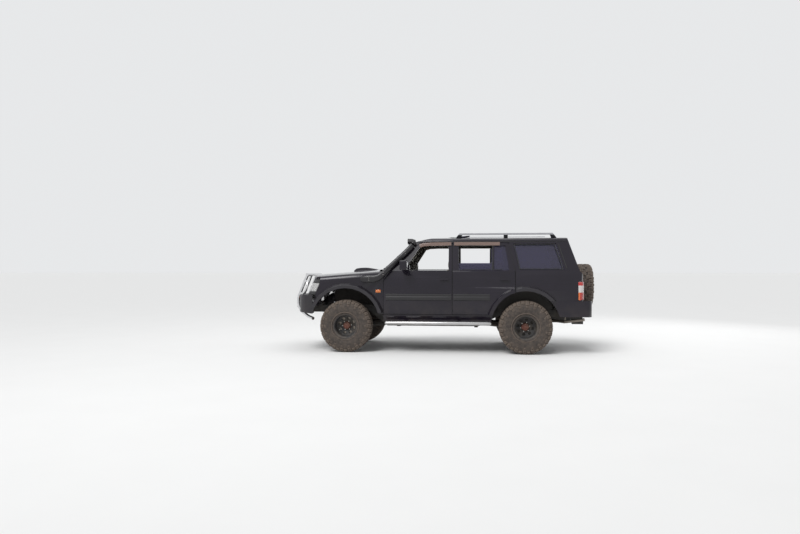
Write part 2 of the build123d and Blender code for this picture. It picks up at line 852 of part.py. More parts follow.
cabin_rear_space = side_form(
    [(3000, 500)] + [(x - rear_frame_thickness, z) for x, z in ((rear_face_x, 500), (rear_face_x, belt_z - 110))]
    + [(rear_face_x - 54 - rear_frame_thickness, belt_z - 6), (rear_face_x - 226 - rear_frame_thickness, gutter_z + 22)]
    + [(3000, gutter_z + 22)],
    -1000, 1000,
)


def pane_between(solid_outline, x_offset):
    """Pane that follows the leaning rear face, set in by x_offset."""
    z0 = belt_z - 6
    z1 = gutter_z + 22
    x0 = rear_face_x - 54 - x_offset
    x1 = rear_face_x - 226 - x_offset
    slab = side_form([(x0, z0), (x1, z1), (x1 - glass_thickness, z1), (x0 - glass_thickness, z0)], -1000, 1000)
    return slab & solid_outline


def build_tail_lamps():
    """Upright lamp units on the rear corners."""
    form = plan_form(rear_plan(-lamp_stand), lamp_low_z, lamp_high_z)
    form = form & cross_form(cabin_section(-lamp_stand / 2, 0, 0), 3000, rear_face_x + 310)
    return both_sides(form & lamp_pocket(0, 60))


rear_bumper_x = rear_face_x + 142
rear_bumper_half = 928.0
rear_bumper_low_z = 612.0
rear_bumper_high_z = rear_opening_z - panel_gap
rear_step_y = 612.0
rear_bumper_wall = 30.0


def rear_bumper_plan(inset):
    """Rear bumper in plan, with round corners."""
    half = rear_bumper_half - inset
    rear = rear_bumper_x - inset
    r = 92.0
    k = r * (1 - sqrt(0.5))
    front = wheelbase + rear_arch_radius - 70
    return [
        (front, -half + 6),
        (rear - r - 20, -half),
        (rear, -half + r + 20, rear - k, -half + k + 10),
        (rear, half - r - 20),
        (rear - r - 20, half, rear - k, half - k - 10),
        (front, half - 6),
    ]


def build_rear_bumper():
    """Bumper shell with a step plate on top, cut round the wheel openings."""
    outer = plan_form(rear_bumper_plan(0), rear_bumper_low_z, rear_bumper_high_z)
    inner = plan_form(rear_bumper_plan(rear_bumper_wall), rear_bumper_low_z - 10, rear_bumper_high_z - 22)
    shell = outer - inner
    shell = shell - block(0, 5000, -rear_step_y, rear_step_y, rear_step_z, 1000)
    shelf = outer & block(rear_face_x + 2, 5000, -rear_step_y, rear_step_y, rear_step_z - 22, rear_step_z)
    cheek = outer & block(rear_face_x + 2, 5000, rear_step_y, rear_step_y + 16, rear_bumper_low_z, rear_bumper_high_z)
    shell = shell + shelf + cheek + cheek.mirror(Plane.XZ)
    arch = arch_cut(wheelbase, rear_arch_z, rear_arch_radius)
    body_room = cabin_outer & block(3000, 5000, -1200, 1200, 400, 1300)
    return shell - arch - body_room


seal_height = 14.0               # ridge on the sill that the back doors close against


# Ladder frame
def rail_rows():
    """Side outline of a frame rail, arched over both axles."""
    d = rail_depth
    return [
        (bumper_front_x + 90, rail_front_z),
        (-430, rail_front_z),
        (-300, 660),
        (330, 660),
        (640, 410),
        (wheelbase - 760, 410),
        (wheelbase - 420, 590),
        (wheelbase + 420, 590),
        (wheelbase + 560, 560),
        (rear_face_x + 60, 548),
        (rear_face_x + 60, 548 + d - 24),
        (wheelbase + 560, 560 + d),
        (wheelbase + 380, 590 + d),
        (wheelbase - 480, 590 + d),
        (wheelbase - 800, 410 + d),
        (700, 410 + d),
        (380, 660 + d - 20),
        (bumper_front_x + 90, 640 + d - 10),
    ]


cross_members = (                # X, bottom Z, length, depth
    (-640.0, 655.0, 60.0, 90.0),
    (800.0, 396.0, 60.0, 48.0),
    (1480.0, 405.0, 80.0, 50.0),
    (wheelbase - 830, 385.0, 60.0, 54.0),
    (wheelbase + 460, 645.0, 60.0, 42.0),
    (rear_face_x - 30, 566.0, 60.0, 80.0),
)


def build_chassis():
    """Two arched rails joined by cross members, with seats for body, arms and dampers."""
    rail = side_form(rail_rows(), rail_inner_y, rail_inner_y + rail_width)
    frame = rail + rail.mirror(Plane.XZ)
    for x, z, length, depth in cross_members:
        frame = frame + block(x, x + length, -rail_inner_y - 5, rail_inner_y + 5, z, z + depth)
    for side in (1, -1):
        for x, z in body_mounts:
            y = side * (rail_inner_y + rail_width)
            inner, outer = sorted((y, y + side * 120))
            frame = frame + block(x - 45, x + 45, inner, outer, z - 40, z - 14)
            frame = frame + bar((x, y + side * 76, z - 14), (x, y + side * 76, floor_z), 34)
        for x, z in link_ends:
            y0, y1 = sorted((side * (rail_inner_y + 1), side * (link_y + link_radius + 0.3)))
            frame = frame + block(x - 30, x + 26, y0, y1, z - 26, z + 26)
        for x, top in damper_tops:
            y0, y1 = sorted((side * (rail_inner_y + rail_width - 1), side * (damper_y + damper_radius)))
            frame = frame + block(x + damper_x - 30, x + damper_x + 30, y0, y1, top + 0.3, top + 14)
        y = side * (rail_inner_y + rail_width / 2)
        tongue = block(tow_eye_x - 26, bumper_front_x + 190, y - 30, y + 30, rail_front_z - tow_eye_plate, rail_front_z)
        frame = frame + tongue - Pos(tow_eye_x, y, rail_front_z) * Cylinder(tow_eye_bore, 90)
    return frame


body_mounts = ((760.0, 500.0), (b_shut_x - 280, 500.0), (wheelbase - 910, 500.0))
link_ends = ((772.0, 455.0), (wheelbase - 730, 455.0))      # X and Z of the arms' frame ends
damper_tops = ((0.0, 716.0), (wheelbase, 650.0))    # axle X and upper end of its dampers
tow_eye_x = bumper_front_x + 63  # shackle hole ahead of the rails
tow_eye_bore = 13.0
tow_eye_plate = 22.0
link_y = 308.0
link_radius = 25.0


def floor_rows():
    """Firewall, floor and raised load floor as one folded band."""
    t = floor_thickness
    return [
        (firewall_x, 1314),
        (firewall_x, 760),
        (790, floor_z),
        (wheelbase - 860, floor_z),
        (wheelbase - 730, load_floor_z - t),
        (rear_face_x - rear_door_thickness - 14, load_floor_z - t),
        (rear_face_x - rear_door_thickness - 14, load_floor_z),
        (wheelbase - 740, load_floor_z),
        (wheelbase - 868, floor_z + t),
        (798, floor_z + t),
        (firewall_x + t, 766),
        (firewall_x + t, 1314),
    ]


def build_floor():
    """Floor pan with its tunnel, firewall, cowl and rear wheelhouses."""
    half = body_y - side_thickness - 3
    floor = side_form(floor_rows(), -half, half)
    rows = [(-206, floor_z - 4), (-166, 742), (166, 742), (206, floor_z - 4)]
    tunnel = cross_form(rows, firewall_x + 5, wheelbase - 820)
    rows = [(-188, 300), (-188, floor_z), (-150, 726), (150, 726), (188, floor_z), (188, 300)]
    hollow = cross_form(rows, 200, wheelbase - 880)
    floor = (floor + tunnel) - hollow
    cowl = (front_form(cowl_depth) - front_form(cowl_depth + 18)) & screen_band(-cowl_gap + panel_gap, 5000)
    floor = floor + (cowl & block(300, firewall_x + 120, -half, half, 1200, 1500))
    sill_top = rear_opening_z - panel_gap
    sill = block(rear_face_x - 96, rear_face_x - 40, -rear_opening_y, rear_opening_y, 692, sill_top)
    seal = block(
        rear_face_x - 96, rear_face_x - rear_door_thickness - rest_gap,
        20 - rear_opening_y, rear_opening_y - 20, sill_top - 1, rear_opening_z + seal_height,
    )
    floor = floor + sill + seal
    arch = arch_cut(wheelbase, rear_arch_z, rear_arch_radius + 12, -half, half)
    arch = arch & block(0, 5000, -half, half, load_floor_z - 10, 2000)
    room = arch_cut(wheelbase, rear_arch_z, rear_arch_radius)
    arch = arch - (room - block(0, 5000, -608, 608, 0, 3000)) - block(0, 5000, -596, 596, 0, 3000)
    inner_hole = arch_cut(wheelbase, rear_arch_z, rear_arch_radius - 20)
    inner_hole = inner_hole - block(0, 5000, -608, 608, 0, 3000)
    floor = (floor - inner_hole) + arch
    return floor & cabin(side_thickness + glass_gap, pillar_thickness + glass_gap, 0)


# Axles and steering
spring_y = 432.0
spring_radius = 56.0
spring_seat = axle_z + 62.0
damper_y = 508.0
damper_x = 112.0                # behind each axle
damper_radius = 27.0
arm_start = 82.0
kingpin_y = 690.0
kingpin_radius = 34.0
axle_tube_radius = 46.0
yoke_half = 92.0
steer_arm_x = -128.0            # tie rod ahead of the axle
tie_rod_z_offset = -30.0
diff_front_y = 200.0
diff_radius = 136.0
nose_reach = 245.0              # shaft flange from the axle's middle


def diff_housing(x, y, nose_side):
    """Round differential housing with a cover and a nose for the propeller shaft."""
    body = bar((x - 75, y, axle_z), (x + 75, y, axle_z), diff_radius, 12)
    nose = Pos(x, y, axle_z) * Rot(0, nose_side * 90, 0) * faceted(((nose_reach - 190, 92), (nose_reach, 50)), 8)
    return body + nose


def axle_brackets(x, ahead):
    """Spring seats, arm brackets and damper feet on an axle tube; ahead is the arms' side."""
    parts = []
    for side in (1, -1):
        y = side * spring_y
        parts.append(block(x - 60, x + 60, y - 60, y + 60, axle_z + 30, spring_seat))
        y = side * link_y
        x0, x1 = sorted((x + ahead * 20, x + ahead * arm_start))
        parts.append(block(x0, x1, y - link_radius, y + link_radius, axle_z - 94, axle_z - 20))
        y = side * damper_y
        x0, x1 = sorted((x + 20, x + damper_x + 24))
        parts.append(block(x0, x1, y - 22, y + 22, axle_z - 10, axle_z + 8))
    return fused(*parts)


def build_front_axle():
    """Beam axle with an offset differential and a yoke at each end."""
    axle = bar((0, -kingpin_y + 60, axle_z), (0, kingpin_y - 60, axle_z), axle_tube_radius)
    axle = axle + diff_housing(0, diff_front_y, 1)
    for side in (1, -1):
        y = side * kingpin_y
        inner = min(y - side * 96, y - side * 66)
        axle = axle + block(-40, 40, inner, inner + 30, axle_z - yoke_half - 22, axle_z + yoke_half + 22)
        for z in (axle_z - yoke_half - 11, axle_z + yoke_half + 11):
            inner, outer = sorted((y, y - side * 90))
            arm = block(-kingpin_radius, kingpin_radius, inner, outer, z - 11, z + 11)
            axle = axle + arm + bar((0, y, z - 11), (0, y, z + 11), kingpin_radius)
    return axle + axle_brackets(0, 1)


def build_knuckle():
    """Right-hand steering knuckle: kingpin post, spindle, brake disc and rearward steering arm."""
    post = Pos(0, kingpin_y, axle_z) * Cylinder(kingpin_radius, 2 * yoke_half - 1)
    outer = wheel_y - disc_inset - disc_thickness - 0.5
    spindle = bar((0, kingpin_y, axle_z), (0, outer - 16, axle_z), 40)
    flange = bar((0, outer - 18, axle_z), (0, outer, axle_z), 74, 12)
    arm = block(steer_arm_x - 20, -20, kingpin_y - 20, kingpin_y + 20, axle_z - 72, axle_z - 52)
    web = block(-44, 20, kingpin_y - 20, kingpin_y + 20, axle_z - 72, axle_z + 30)
    z = axle_z + tie_rod_z_offset - 4
    pin = bar((steer_arm_x, kingpin_y, z - 22), (steer_arm_x, kingpin_y, z + 22), 9, 12)
    return fused(post, spindle, flange, arm, web, pin)


def build_tie_rod():
    """Cross tube between the steering arms; its left eye is the hinge, its right eye has clearance."""
    z = axle_z + tie_rod_z_offset
    tube = bar((steer_arm_x, -kingpin_y + 14, z), (steer_arm_x, kingpin_y - 14, z), 15)
    for y, gap in ((-kingpin_y, 0.3), (kingpin_y, 3.0)):
        tube = tube + bar((steer_arm_x, y, z - 15), (steer_arm_x, y, z + 15), 20)
        hole = (9 + gap) / cos(pi / 12)
        tube = tube - bar((steer_arm_x, y, z - 30), (steer_arm_x, y, z + 30), hole, 12)
    return tube


def build_rear_axle():
    """Beam axle with a central differential and hub flanges."""
    x = wheelbase
    outer = wheel_y - disc_inset - disc_thickness - 0.5
    axle = bar((x, -outer, axle_z), (x, outer, axle_z), axle_tube_radius)
    axle = axle + diff_housing(x, 0, -1)
    for side in (1, -1):
        axle = axle + bar((x, side * outer, axle_z), (x, side * (outer - 60), axle_z), 150, 16)
    return axle + axle_brackets(x, -1)


# Springs, dampers and links
def build_springs():
    """Coil springs, drawn as their outer forms."""
    pieces = []
    for x, top in ((0, 660), (wheelbase, 590)):
        for side in (1, -1):
            y = side * spring_y
            pieces.append(bar((x, y, spring_seat + 0.3), (x, y, top - 0.3), spring_radius, 10))
    return pieces


def build_links():
    """Front radius arms, rear trailing arms, panhard rods and dampers."""
    pieces = []
    for side in (1, -1):
        (xa, za), (xb, zb) = link_ends
        y = side * link_y
        z = axle_z - 62
        pieces.append(bar((arm_start + 3.4, y, z), (xa, y, za), link_radius))
        pieces.append(bar((wheelbase - arm_start - 3.4, y, z), (xb, y, zb), link_radius))
        y = side * damper_y
        for x, top in damper_tops:
            pieces.append(bar((x + damper_x, y, axle_z + 8.3), (x + damper_x, y, top), damper_radius))
    return pieces


# Wheels
def build_tyre(diameter, width, lugs):
    """Tyre about the Y axis at the origin: flat-sided carcass with a lug on each facet."""
    tread = diameter / 2 - lug_height
    rings = [(across * width, tread * out) for across, out in tyre_profile]
    carcass = Rot(90, 0, 0) * faceted(rings, lugs)
    bore = rim_diameter / 2 + bead_fit
    carcass = carcass - Rot(90, 0, 0) * faceted(((-width, bore), (width, bore)), lugs)
    half = pi * diameter / 2 / lugs * 0.56
    top = sqrt((diameter / 2) ** 2 - half**2)
    step = 360 / lugs
    shape = carcass
    for side in (1, -1):
        rows = [
            (side * width * 0.06, tread - lug_embed),
            (side * width * 0.06, top),
            (side * width * 0.37, top - 1),
            (side * width * 0.49, tread * 0.87),
        ]
        lug = extrude(outline(rows, lambda y, z: (-half, y, z)), 2 * half, dir=(1, 0, 0))
        turn = step / 2 if side > 0 else 0
        lugs_round = [lug.rotate(Axis.Y, turn + i * step) for i in range(lugs)]
        shape = shape + lugs_round
    return shape.rotate(Axis.Y, degrees(atan2(half, top)))


def rim_ring(y0, y1, inradius):
    """Flat-sided disc about the Y axis between two planes, turned as the tyre's bore is."""
    disc = Rot(-90, 0, 0) * faceted(((y0, inradius), (y1, inradius)), lug_count)
    half = pi * tyre_diameter / 2 / lug_count * 0.56
    top = sqrt((tyre_diameter / 2) ** 2 - half**2)
    return disc.rotate(Axis.Y, degrees(atan2(half, top)))


def build_rim():
    """Steel wheel about the Y axis at the origin, its outer side toward +Y."""
    r = rim_diameter / 2
    half = rim_width / 2
    y0 = -disc_inset - disc_thickness
    barrel = rim_ring(-half, half, r) - rim_ring(-half - 5, half + 5, r - rim_wall)
    disc = rim_ring(y0, y0 + disc_thickness, r - rim_wall + 0.5)
    for i in range(rim_holes):
        angle = 2 * pi * (i + 0.5) / rim_holes
        x, z = rim_hole_pitch * cos(angle), rim_hole_pitch * sin(angle)
        disc = disc - bar((x, y0 - 5, z), (x, y0 + disc_thickness + 5, z), rim_hole_radius, 6)
    hub = bar((0, y0 + disc_thickness - 1, 0), (0, y0 + disc_thickness + hub_reach, 0), hub_bore / 2, 10)
    cap = rod((0, y0 + disc_thickness, 0), (0, y0 + disc_thickness + hub_reach + 4, 0), hub_cap_radius)
    return barrel + disc + hub + cap


def build_drive_line():
    """Engine as one block, gearbox, transfer case and both propeller shafts."""
    engine = block(-330, 480, -230, 230, 640, 1160)
    sump = block(-250, 400, -190, 130, 560, 650)
    gearbox = Pos(460, 0, 580) * Rot(0, 90, 0) * faceted(((0, 122), (640, 84)), 8)
    transfer = block(1080, 1330, -110, 250, 440, 546) + block(1080, 1330, -110, 110, 540, 672)
    front_shaft = bar((nose_reach + 3, diff_front_y, axle_z), (1085, diff_front_y, 500), 30)
    rear_shaft = bar((1325, 0, 560), (wheelbase - nose_reach - 4, 0, axle_z), 36)
    return fused(engine, sump, gearbox, transfer, front_shaft, rear_shaft)


def build_exhaust():
    """Silencer and pipe along the left side, out behind the rear wheel."""
    run = [
        (900, -262, 505),
        (wheelbase - 910, -262, 505),
        (wheelbase - 610, -262, 570),
        (wheelbase - 330, -262, 688),
        (wheelbase + 270, -262, 688),
        (wheelbase + 430, -280, 520),
        (wheelbase + 670, -580, 510),
        (rear_face_x + 40, -720, 560),
    ]
    pipe = tube_run(run, 26)
    box = block(wheelbase - 1350, wheelbase - 930, -320, -210, 452, 545)
    hanger = block(1100, 1112, -268, -256, 505, floor_z)
    rear_hanger = block(wheelbase + 664, wheelbase + 676, -586, -574, 510, load_floor_z - floor_thickness)
    return pipe + box + hanger + rear_hanger


def build_fuel_tank():
    """Fuel tank under the load floor, on two straps between the rails."""
    tank = block(rear_face_x - 490, rear_face_x - 100, -190, 330, 470, 640)
    for x in (rear_face_x - 420, rear_face_x - 190):
        tank = tank + block(x, x + 30, -rail_inner_y, rail_inner_y, 604, 628)
    return tank


# Cabin fittings
front_seat = (1130.0, 520.0, 790.0, 255.0)     # front edge X, cushion length, back height, half width
rear_seat = (wheelbase - 960, 500.0, 760.0, 590.0)
front_seat_y = 380.0
seat_lift = 176.0               # underside of a cushion above its floor


def seat_rows(x, z, length, back):
    """Side outline of a seat's cushion and back."""
    return [
        (x, z + seat_lift),
        (x, z + 272),
        (x + 46, z + 308),
        (x + length - 90, z + 292),
        (x + length + 6, z + back),
        (x + length + 36, z + back + 26),
        (x + length + 126, z + back + 8),
        (x + length + 50, z + 240),
        (x + length + 10, z + seat_lift),
    ]


def build_seat(seat, y, z, rests):
    """One seat or bench centred on y, with head restraints at the given offsets."""
    x, length, back, half = seat
    form = side_form(seat_rows(x, z, length, back), y - half, y + half)
    top = z + back
    rows = [
        (x + length + 46, top + 10),
        (x + length + 50, top + 196),
        (x + length + 132, top + 188),
        (x + length + 120, top + 4),
    ]
    for offset in rests:
        form = form + side_form(rows, y + offset - 128, y + offset + 128)
    return form


def build_plinth(seat, y, z, depth):
    """Seat frame between the cushion and the floor."""
    x, _, _, half = seat
    return block(x + 40, x + depth, y - half + 92, y + half - 92, z, z + seat_lift)


def build_dashboard():
    """Dashboard across the cabin with the steering column's shroud."""
    rows = [(640, 1010), (640, 1286), (760, 1290), (860, 1250), (890, 1160), (850, 1040), (760, 1000)]
    dash = side_form(rows, -770, 770) & cabin(side_thickness + rest_gap, pillar_thickness + rest_gap, 0)
    cluster = block(780, 856, -560, -200, 1200, 1288)
    console = block(770, 1100, -110, 110, 742.3, 1010)
    column_top = hand_wheel_centre - column_direction * rest_gap
    column = rod(column_top - column_direction * 112, column_top, 34)
    return fused(dash, cluster, console, column)


hand_wheel_centre = Vector(962.5, -front_seat_y, 1131.5)
column_tilt = radians(22.5)
column_direction = Vector(cos(column_tilt), 0, sin(column_tilt))


def build_steering_wheel():
    """Rim, three spokes and a hub, about the column."""
    plane = Plane(origin=hand_wheel_centre, x_dir=(0, 1, 0), z_dir=column_direction)
    rim = extrude(plane * (RegularPolygon(196, 16) - RegularPolygon(168, 16)), 26)
    hub = extrude(plane * RegularPolygon(52, 8), 30)
    spokes = extrude(plane * (Rectangle(350, 34) + Pos(0, -90) * Rectangle(34, 170)), 16)
    return fused(rim, hub, spokes)


# Snorkel on the left wing and windscreen pillar
def build_snorkel():
    """Intake duct: along the wing, up the windscreen pillar and into a forward-facing head."""
    depth = 66.0
    low = [(256, 1188), (252, 1232), (312, 1290), (498, 1292), (560, 1262), (528, 1176), (424, 1154)]
    duct = side_form(low, -wing_y - 8 - depth, -wing_y + 30)
    z0, z1 = 1190.0, roof_z - 130
    stem_rows = []
    for z in (z0, z1):
        stem_rows.append((pillar_x(z, -86), z))
    for z in (z1, z0):
        stem_rows.append((pillar_x(z, -8), z))
    stem = side_form(stem_rows, -1100, -600)
    lean = [(-wing_y - 8 - depth, z0 - 40), (-wing_y - 8 - depth, 1290), (-gutter_y - 92, z1 + 40),
            (-gutter_y - 14, z1 + 40), (-belt_y - 22, 1380), (-wing_y - 8, 1290), (-wing_y - 8, z0 - 40)]
    stem = stem & cross_form(lean, 200, 1500)
    rows = [(1040, z1 - 6), (1034, z1 + 76), (1150, z1 + 76), (1204, z1 + 34), (1190, z1 - 22), (1080, z1 - 22)]
    head = side_form(rows, -gutter_y - 96, -gutter_y - 6)
    rows = [(1000, z1 + 6), (1000, z1 + 66), (1090, z1 + 66), (1090, z1 + 6)]
    mouth = side_form(rows, -gutter_y - 88, -gutter_y - 14)
    return (fused(duct, stem, head) - mouth) - front_body - cabin_outer


def build_side_steps():
    """Round step tube under each sill on two brackets."""
    pieces = []
    for side in (1, -1):
        tube = bar((672, side * 968, 498), (wheelbase - 558, side * 968, 498), 30)
        for x in (980, wheelbase - 1110):
            y0, y1 = sorted((side * (rail_inner_y + rail_width), side * 960))
            bracket = block(x, x + 60, y0, y1, 470, 486)
            tube = tube + bracket
        pieces.append(tube)
    return pieces


tow_ball_z = 556.0


def build_tow_bar():
    """Receiver beam under the rear bumper with a ball."""
    beam = block(rear_face_x - 60, rear_face_x + 40, -352, 352, 500, 562)
    tongue = block(rear_face_x - 60, rear_face_x + 130, -30, 30, 430, 502)
    x = rear_face_x + 96
    neck = bar((x, 0, 495), (x, 0, 545), 14)
    ball = Pos(x, 0, tow_ball_z) * faceted(((-22, 11), (-12, 21), (0, 25), (12, 21), (22, 11)), 10)
    return fused(beam, tongue, neck, ball)


# Assembly on the ground
body_sides = build_body_sides()
save("body_sides", *body_sides.solids())
save("roof_panel", build_roof())
save("roof_rails", *both_sides(build_roof_rails()[0]))
bonnet = build_bonnet()
save("bonnet", bonnet)
save("wings", *build_wings())
save("grille_panel", build_grille_panel())
save("head_lamps", *both_sides(build_head_lamps()))
save("front_bumper", build_front_bumper())
save("bull_bar", build_bull_bar())
save("arch_flares", *build_flares())
save("snorkel", build_snorkel())
save("side_steps", *build_side_steps())

front_door = build_side_door(front_door_rows(0), front_window_rows(0), True) + mirror_head()
front_door = front_door + door_handle(b_shut_x - 208, handle_z)
rear_door = build_side_door(rear_door_rows(0), rear_window_rows(0), True)
rear_door = rear_door + door_handle(rear_shut_x - 240, handle_z) + rear_door_flare()
bar_x = wheelbase - 528         # upright bar ahead of the fixed light
bar_width = 20.0
half_glass_z = belt_z + 128     # top of the half-lowered rear window
bar_box = block(bar_x, bar_x + bar_width, 600, 1000, window_base_z - 20, door_top_z - 20)
rear_door = rear_door + (door_layer & bar_box)
save("front_door_right", front_door)
save("front_door_left", front_door.mirror(Plane.XZ))
save("rear_door_right", rear_door)
save("rear_door_left", rear_door.mirror(Plane.XZ))

pane_layer = cabin(pillar_thickness, pillar_thickness - flange_thickness - 14, 0)
pane_layer = pane_layer - cabin(pillar_thickness, pillar_thickness - flange_thickness - 14 + glass_thickness, 0)
half_glass = side_form(rear_window_rows(-glass_gap), 400, 1200) & pane_layer
drop = block(0, bar_x - glass_gap, 0, mirror_y, belt_z, half_glass_z)
drop = drop + block(bar_x + bar_width + glass_gap, rear_face_x, 0, mirror_y, 0, roof_z)
half_glass = half_glass & drop
save("rear_door_glass_right", *half_glass.solids())
save("rear_door_glass_left", *[solid.mirror(Plane.XZ) for solid in half_glass.solids()])

glass_edge = pillar_thickness + glass_gap
screen = screen_band(6, 6 + glass_thickness)
screen = screen & cabin(side_thickness + glass_gap, glass_edge, roof_thickness + glass_gap)
screen = screen & block(0, 3000, -1000, 1000, 1240, 2200)
screen = screen - front_form(cowl_depth - glass_gap)
wing_tops = front_form(-1) - block(-2000, 2000, -wing_split_y, wing_split_y, 0, 2000)
screen = screen - wing_tops
quarter = side_form(quarter_rows(-glass_gap), 400, 1200) & pane_layer
save("fixed_glass", *screen.solids(), *both_sides(quarter), build_sunroof())

for name, y0, y1 in (
    ("rear_door_wide", rear_split_y, rear_opening_y),
    ("rear_door_narrow", -rear_opening_y, rear_split_y - rear_split_gap),
):
    door = build_rear_door(y0, y1)
    if name == "rear_door_wide":
        plate = block(rear_face_x - 4, rear_face_x + 30, spare_y - 120, spare_y + 120, spare_z - 120, spare_z + 120)
        post_end = spare_rear_x - spare_width / 2 - disc_inset - disc_thickness - 0.3
        post = rod((rear_face_x, spare_y, spare_z), (post_end, spare_y, spare_z), 62)
        door = door + plate + post
    save(name, door)
    hole = cross_form(inset_rows(rear_window_outline(y0, y1), glass_gap), 3400, 4200)
    save(name + "_glass", *pane_between(hole, 12).solids())

save("tail_lamps", *build_tail_lamps())
save("rear_bumper", build_rear_bumper())
save("tow_bar", build_tow_bar())
save("chassis_frame", build_chassis())
save("floor_pan", build_floor())
save("front_axle", build_front_axle())
save("rear_axle", build_rear_axle())
knuckle = build_knuckle()
save("knuckle_right", knuckle)
save("knuckle_left", knuckle.mirror(Plane.XZ))
save("tie_rod", build_tie_rod())
save("coil_springs", *build_springs())
save("suspension_links", *build_links())
save("drive_line", build_drive_line())
save("exhaust", build_exhaust())
save("fuel_tank", build_fuel_tank())
cabin_floor = floor_z + floor_thickness
front_seats = [build_seat(front_seat, side * front_seat_y, cabin_floor, (0,)) for side in (1, -1)]
plinths = [build_plinth(front_seat, side * front_seat_y, cabin_floor, 420) for side in (1, -1)]
bench_z = load_floor_z - seat_lift + 8
save("front_seats", *[seat + plinth for seat, plinth in zip(front_seats, plinths)])
leg = block(rear_seat[0] + 20, rear_seat[0] + 76, 230, 530, cabin_floor, bench_z + seat_lift)
save("rear_bench", build_seat(rear_seat, 0, bench_z, (-380, 0, 380)) + leg + leg.mirror(Plane.XZ))
save("dashboard", build_dashboard())
save("steering_wheel", build_steering_wheel())

tyre = build_tyre(tyre_diameter, tyre_width, lug_count)
rim = build_rim()
for end, x in (("front", 0.0), ("rear", wheelbase)):
    for name, side in (("right", 1), ("left", -1)):
        turn = Rot(0, 0, 0) if side > 0 else Rot(0, 0, 180)
        save(f"{end}_tyre_{name}", Pos(x, side * wheel_y, axle_z) * turn * tyre)
        save(f"{end}_rim_{name}", Pos(x, side * wheel_y, axle_z) * turn * rim)
spare_tyre = build_tyre(spare_diameter, spare_width, lug_count)
spare_turn = Pos(spare_rear_x - spare_width / 2, spare_y, spare_z) * Rot(0, 0, -90)
save("spare_tyre", spare_turn * spare_tyre)
save("spare_rim", spare_turn * rim)
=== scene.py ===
import random
from math import atan2, cos, exp, hypot, pi, radians, sin

import bmesh
import bpy
from mathutils import Matrix, Vector
from mathutils.bvhtree import BVHTree


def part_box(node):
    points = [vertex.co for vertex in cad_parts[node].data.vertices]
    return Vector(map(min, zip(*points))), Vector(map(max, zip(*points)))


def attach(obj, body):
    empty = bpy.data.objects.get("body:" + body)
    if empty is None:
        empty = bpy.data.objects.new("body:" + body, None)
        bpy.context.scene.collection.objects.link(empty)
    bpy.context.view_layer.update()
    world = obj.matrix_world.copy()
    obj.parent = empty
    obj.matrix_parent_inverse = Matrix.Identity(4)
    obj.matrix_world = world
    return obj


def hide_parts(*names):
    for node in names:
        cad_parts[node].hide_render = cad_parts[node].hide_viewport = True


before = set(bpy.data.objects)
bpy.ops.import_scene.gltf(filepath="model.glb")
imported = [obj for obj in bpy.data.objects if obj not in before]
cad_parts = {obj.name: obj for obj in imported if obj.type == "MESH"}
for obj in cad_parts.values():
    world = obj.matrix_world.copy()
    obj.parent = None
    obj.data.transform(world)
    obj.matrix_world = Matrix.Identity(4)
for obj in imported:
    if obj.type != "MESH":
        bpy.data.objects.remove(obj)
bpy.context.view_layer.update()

# Sizes are part.py's millimetres; X counts from the front axle, Z from the ground
WHEELBASE = 2970
HALF_TRACK = 822
TYRE_DIAMETER, TYRE_WIDTH = 875, 315
SPARE_DIAMETER, SPARE_WIDTH = 782, 266
RIM_RADIUS = 190.5
BELT_Z, BELT_Y = 1358, 882  # height and half width of the body at the belt
GUTTER_Z, GUTTER_Y = 1848, 744  # the same at the gutter
FLOOR_TOP = 574
FAR = 1300  # well outside the body, where search rays start

AXLE = -1.625  # X of the front axle in the shared frame, in metres
ROOT = "vehicle"
scene = bpy.context.scene
SIDES = ((-1, "left"), (1, "right"))
rng = random.Random(7)


def assign(thing, **values):
    """Set several properties of a thing, and return it."""
    for key, value in values.items():
        setattr(thing, key, value)
    return thing


def linked(name, data):
    """New object in the scene."""
    made = bpy.data.objects.new(name, data)
    scene.collection.objects.link(made)
    return made


def add_node(tree, kind, inputs, **settings):
    """Shader node of a kind, with its settings, and a value or a link for each input."""
    made = assign(tree.nodes.new("ShaderNode" + kind), **settings)
    for key, value in inputs.items():
        if isinstance(value, bpy.types.NodeSocket):
            tree.links.new(value, made.inputs[key])
        else:
            made.inputs[key].default_value = value
    return made


def angles(count, start=0.0):
    """Evenly spaced angles round a circle, shifted by start, a share of one step."""
    return [2 * pi * (k + start) / count for k in range(count)]


# Camera and room

def build_camera():
    """The photograph's camera: place and lens fitted to the wheels and the body's outline."""
    focal_pixels, photo_width, sensor = 659.0, 800, 36.0
    yaw, rise = 0.1124, 0.0046
    focal = focal_pixels / photo_width * sensor
    data = assign(bpy.data.cameras.new("camera"), sensor_width=sensor, lens=focal)
    turn = Vector((-sin(yaw), cos(yaw), rise)).to_track_quat("-Z", "Y").to_euler()
    camera = assign(linked("camera", data), location=(0.517, -11.777, 1.372), rotation_euler=turn)
    scene.camera = camera


def build_world():
    """Pale surround, brighter to the camera, mirrors and glass than it is as a light."""
    lit, seen_as = 0.60, 1.0
    world = bpy.data.worlds.new("studio")
    scene.world = world
    world.use_nodes = True
    tree = world.node_tree
    background = tree.nodes["Background"]
    background.inputs["Color"].default_value = (0.80, 0.81, 0.82, 1)
    path = add_node(tree, "LightPath", {})
    seen = path.outputs["Is Camera Ray"]
    for name in ("Is Glossy Ray", "Is Transmission Ray"):
        either = {0: seen, 1: path.outputs[name]}
        seen = add_node(tree, "Math", either, operation="MAXIMUM").outputs[0]
    strength = add_node(tree, "MapRange", {"Value": seen, "To Min": lit, "To Max": seen_as})
    tree.links.new(strength.outputs[0], background.inputs["Strength"])


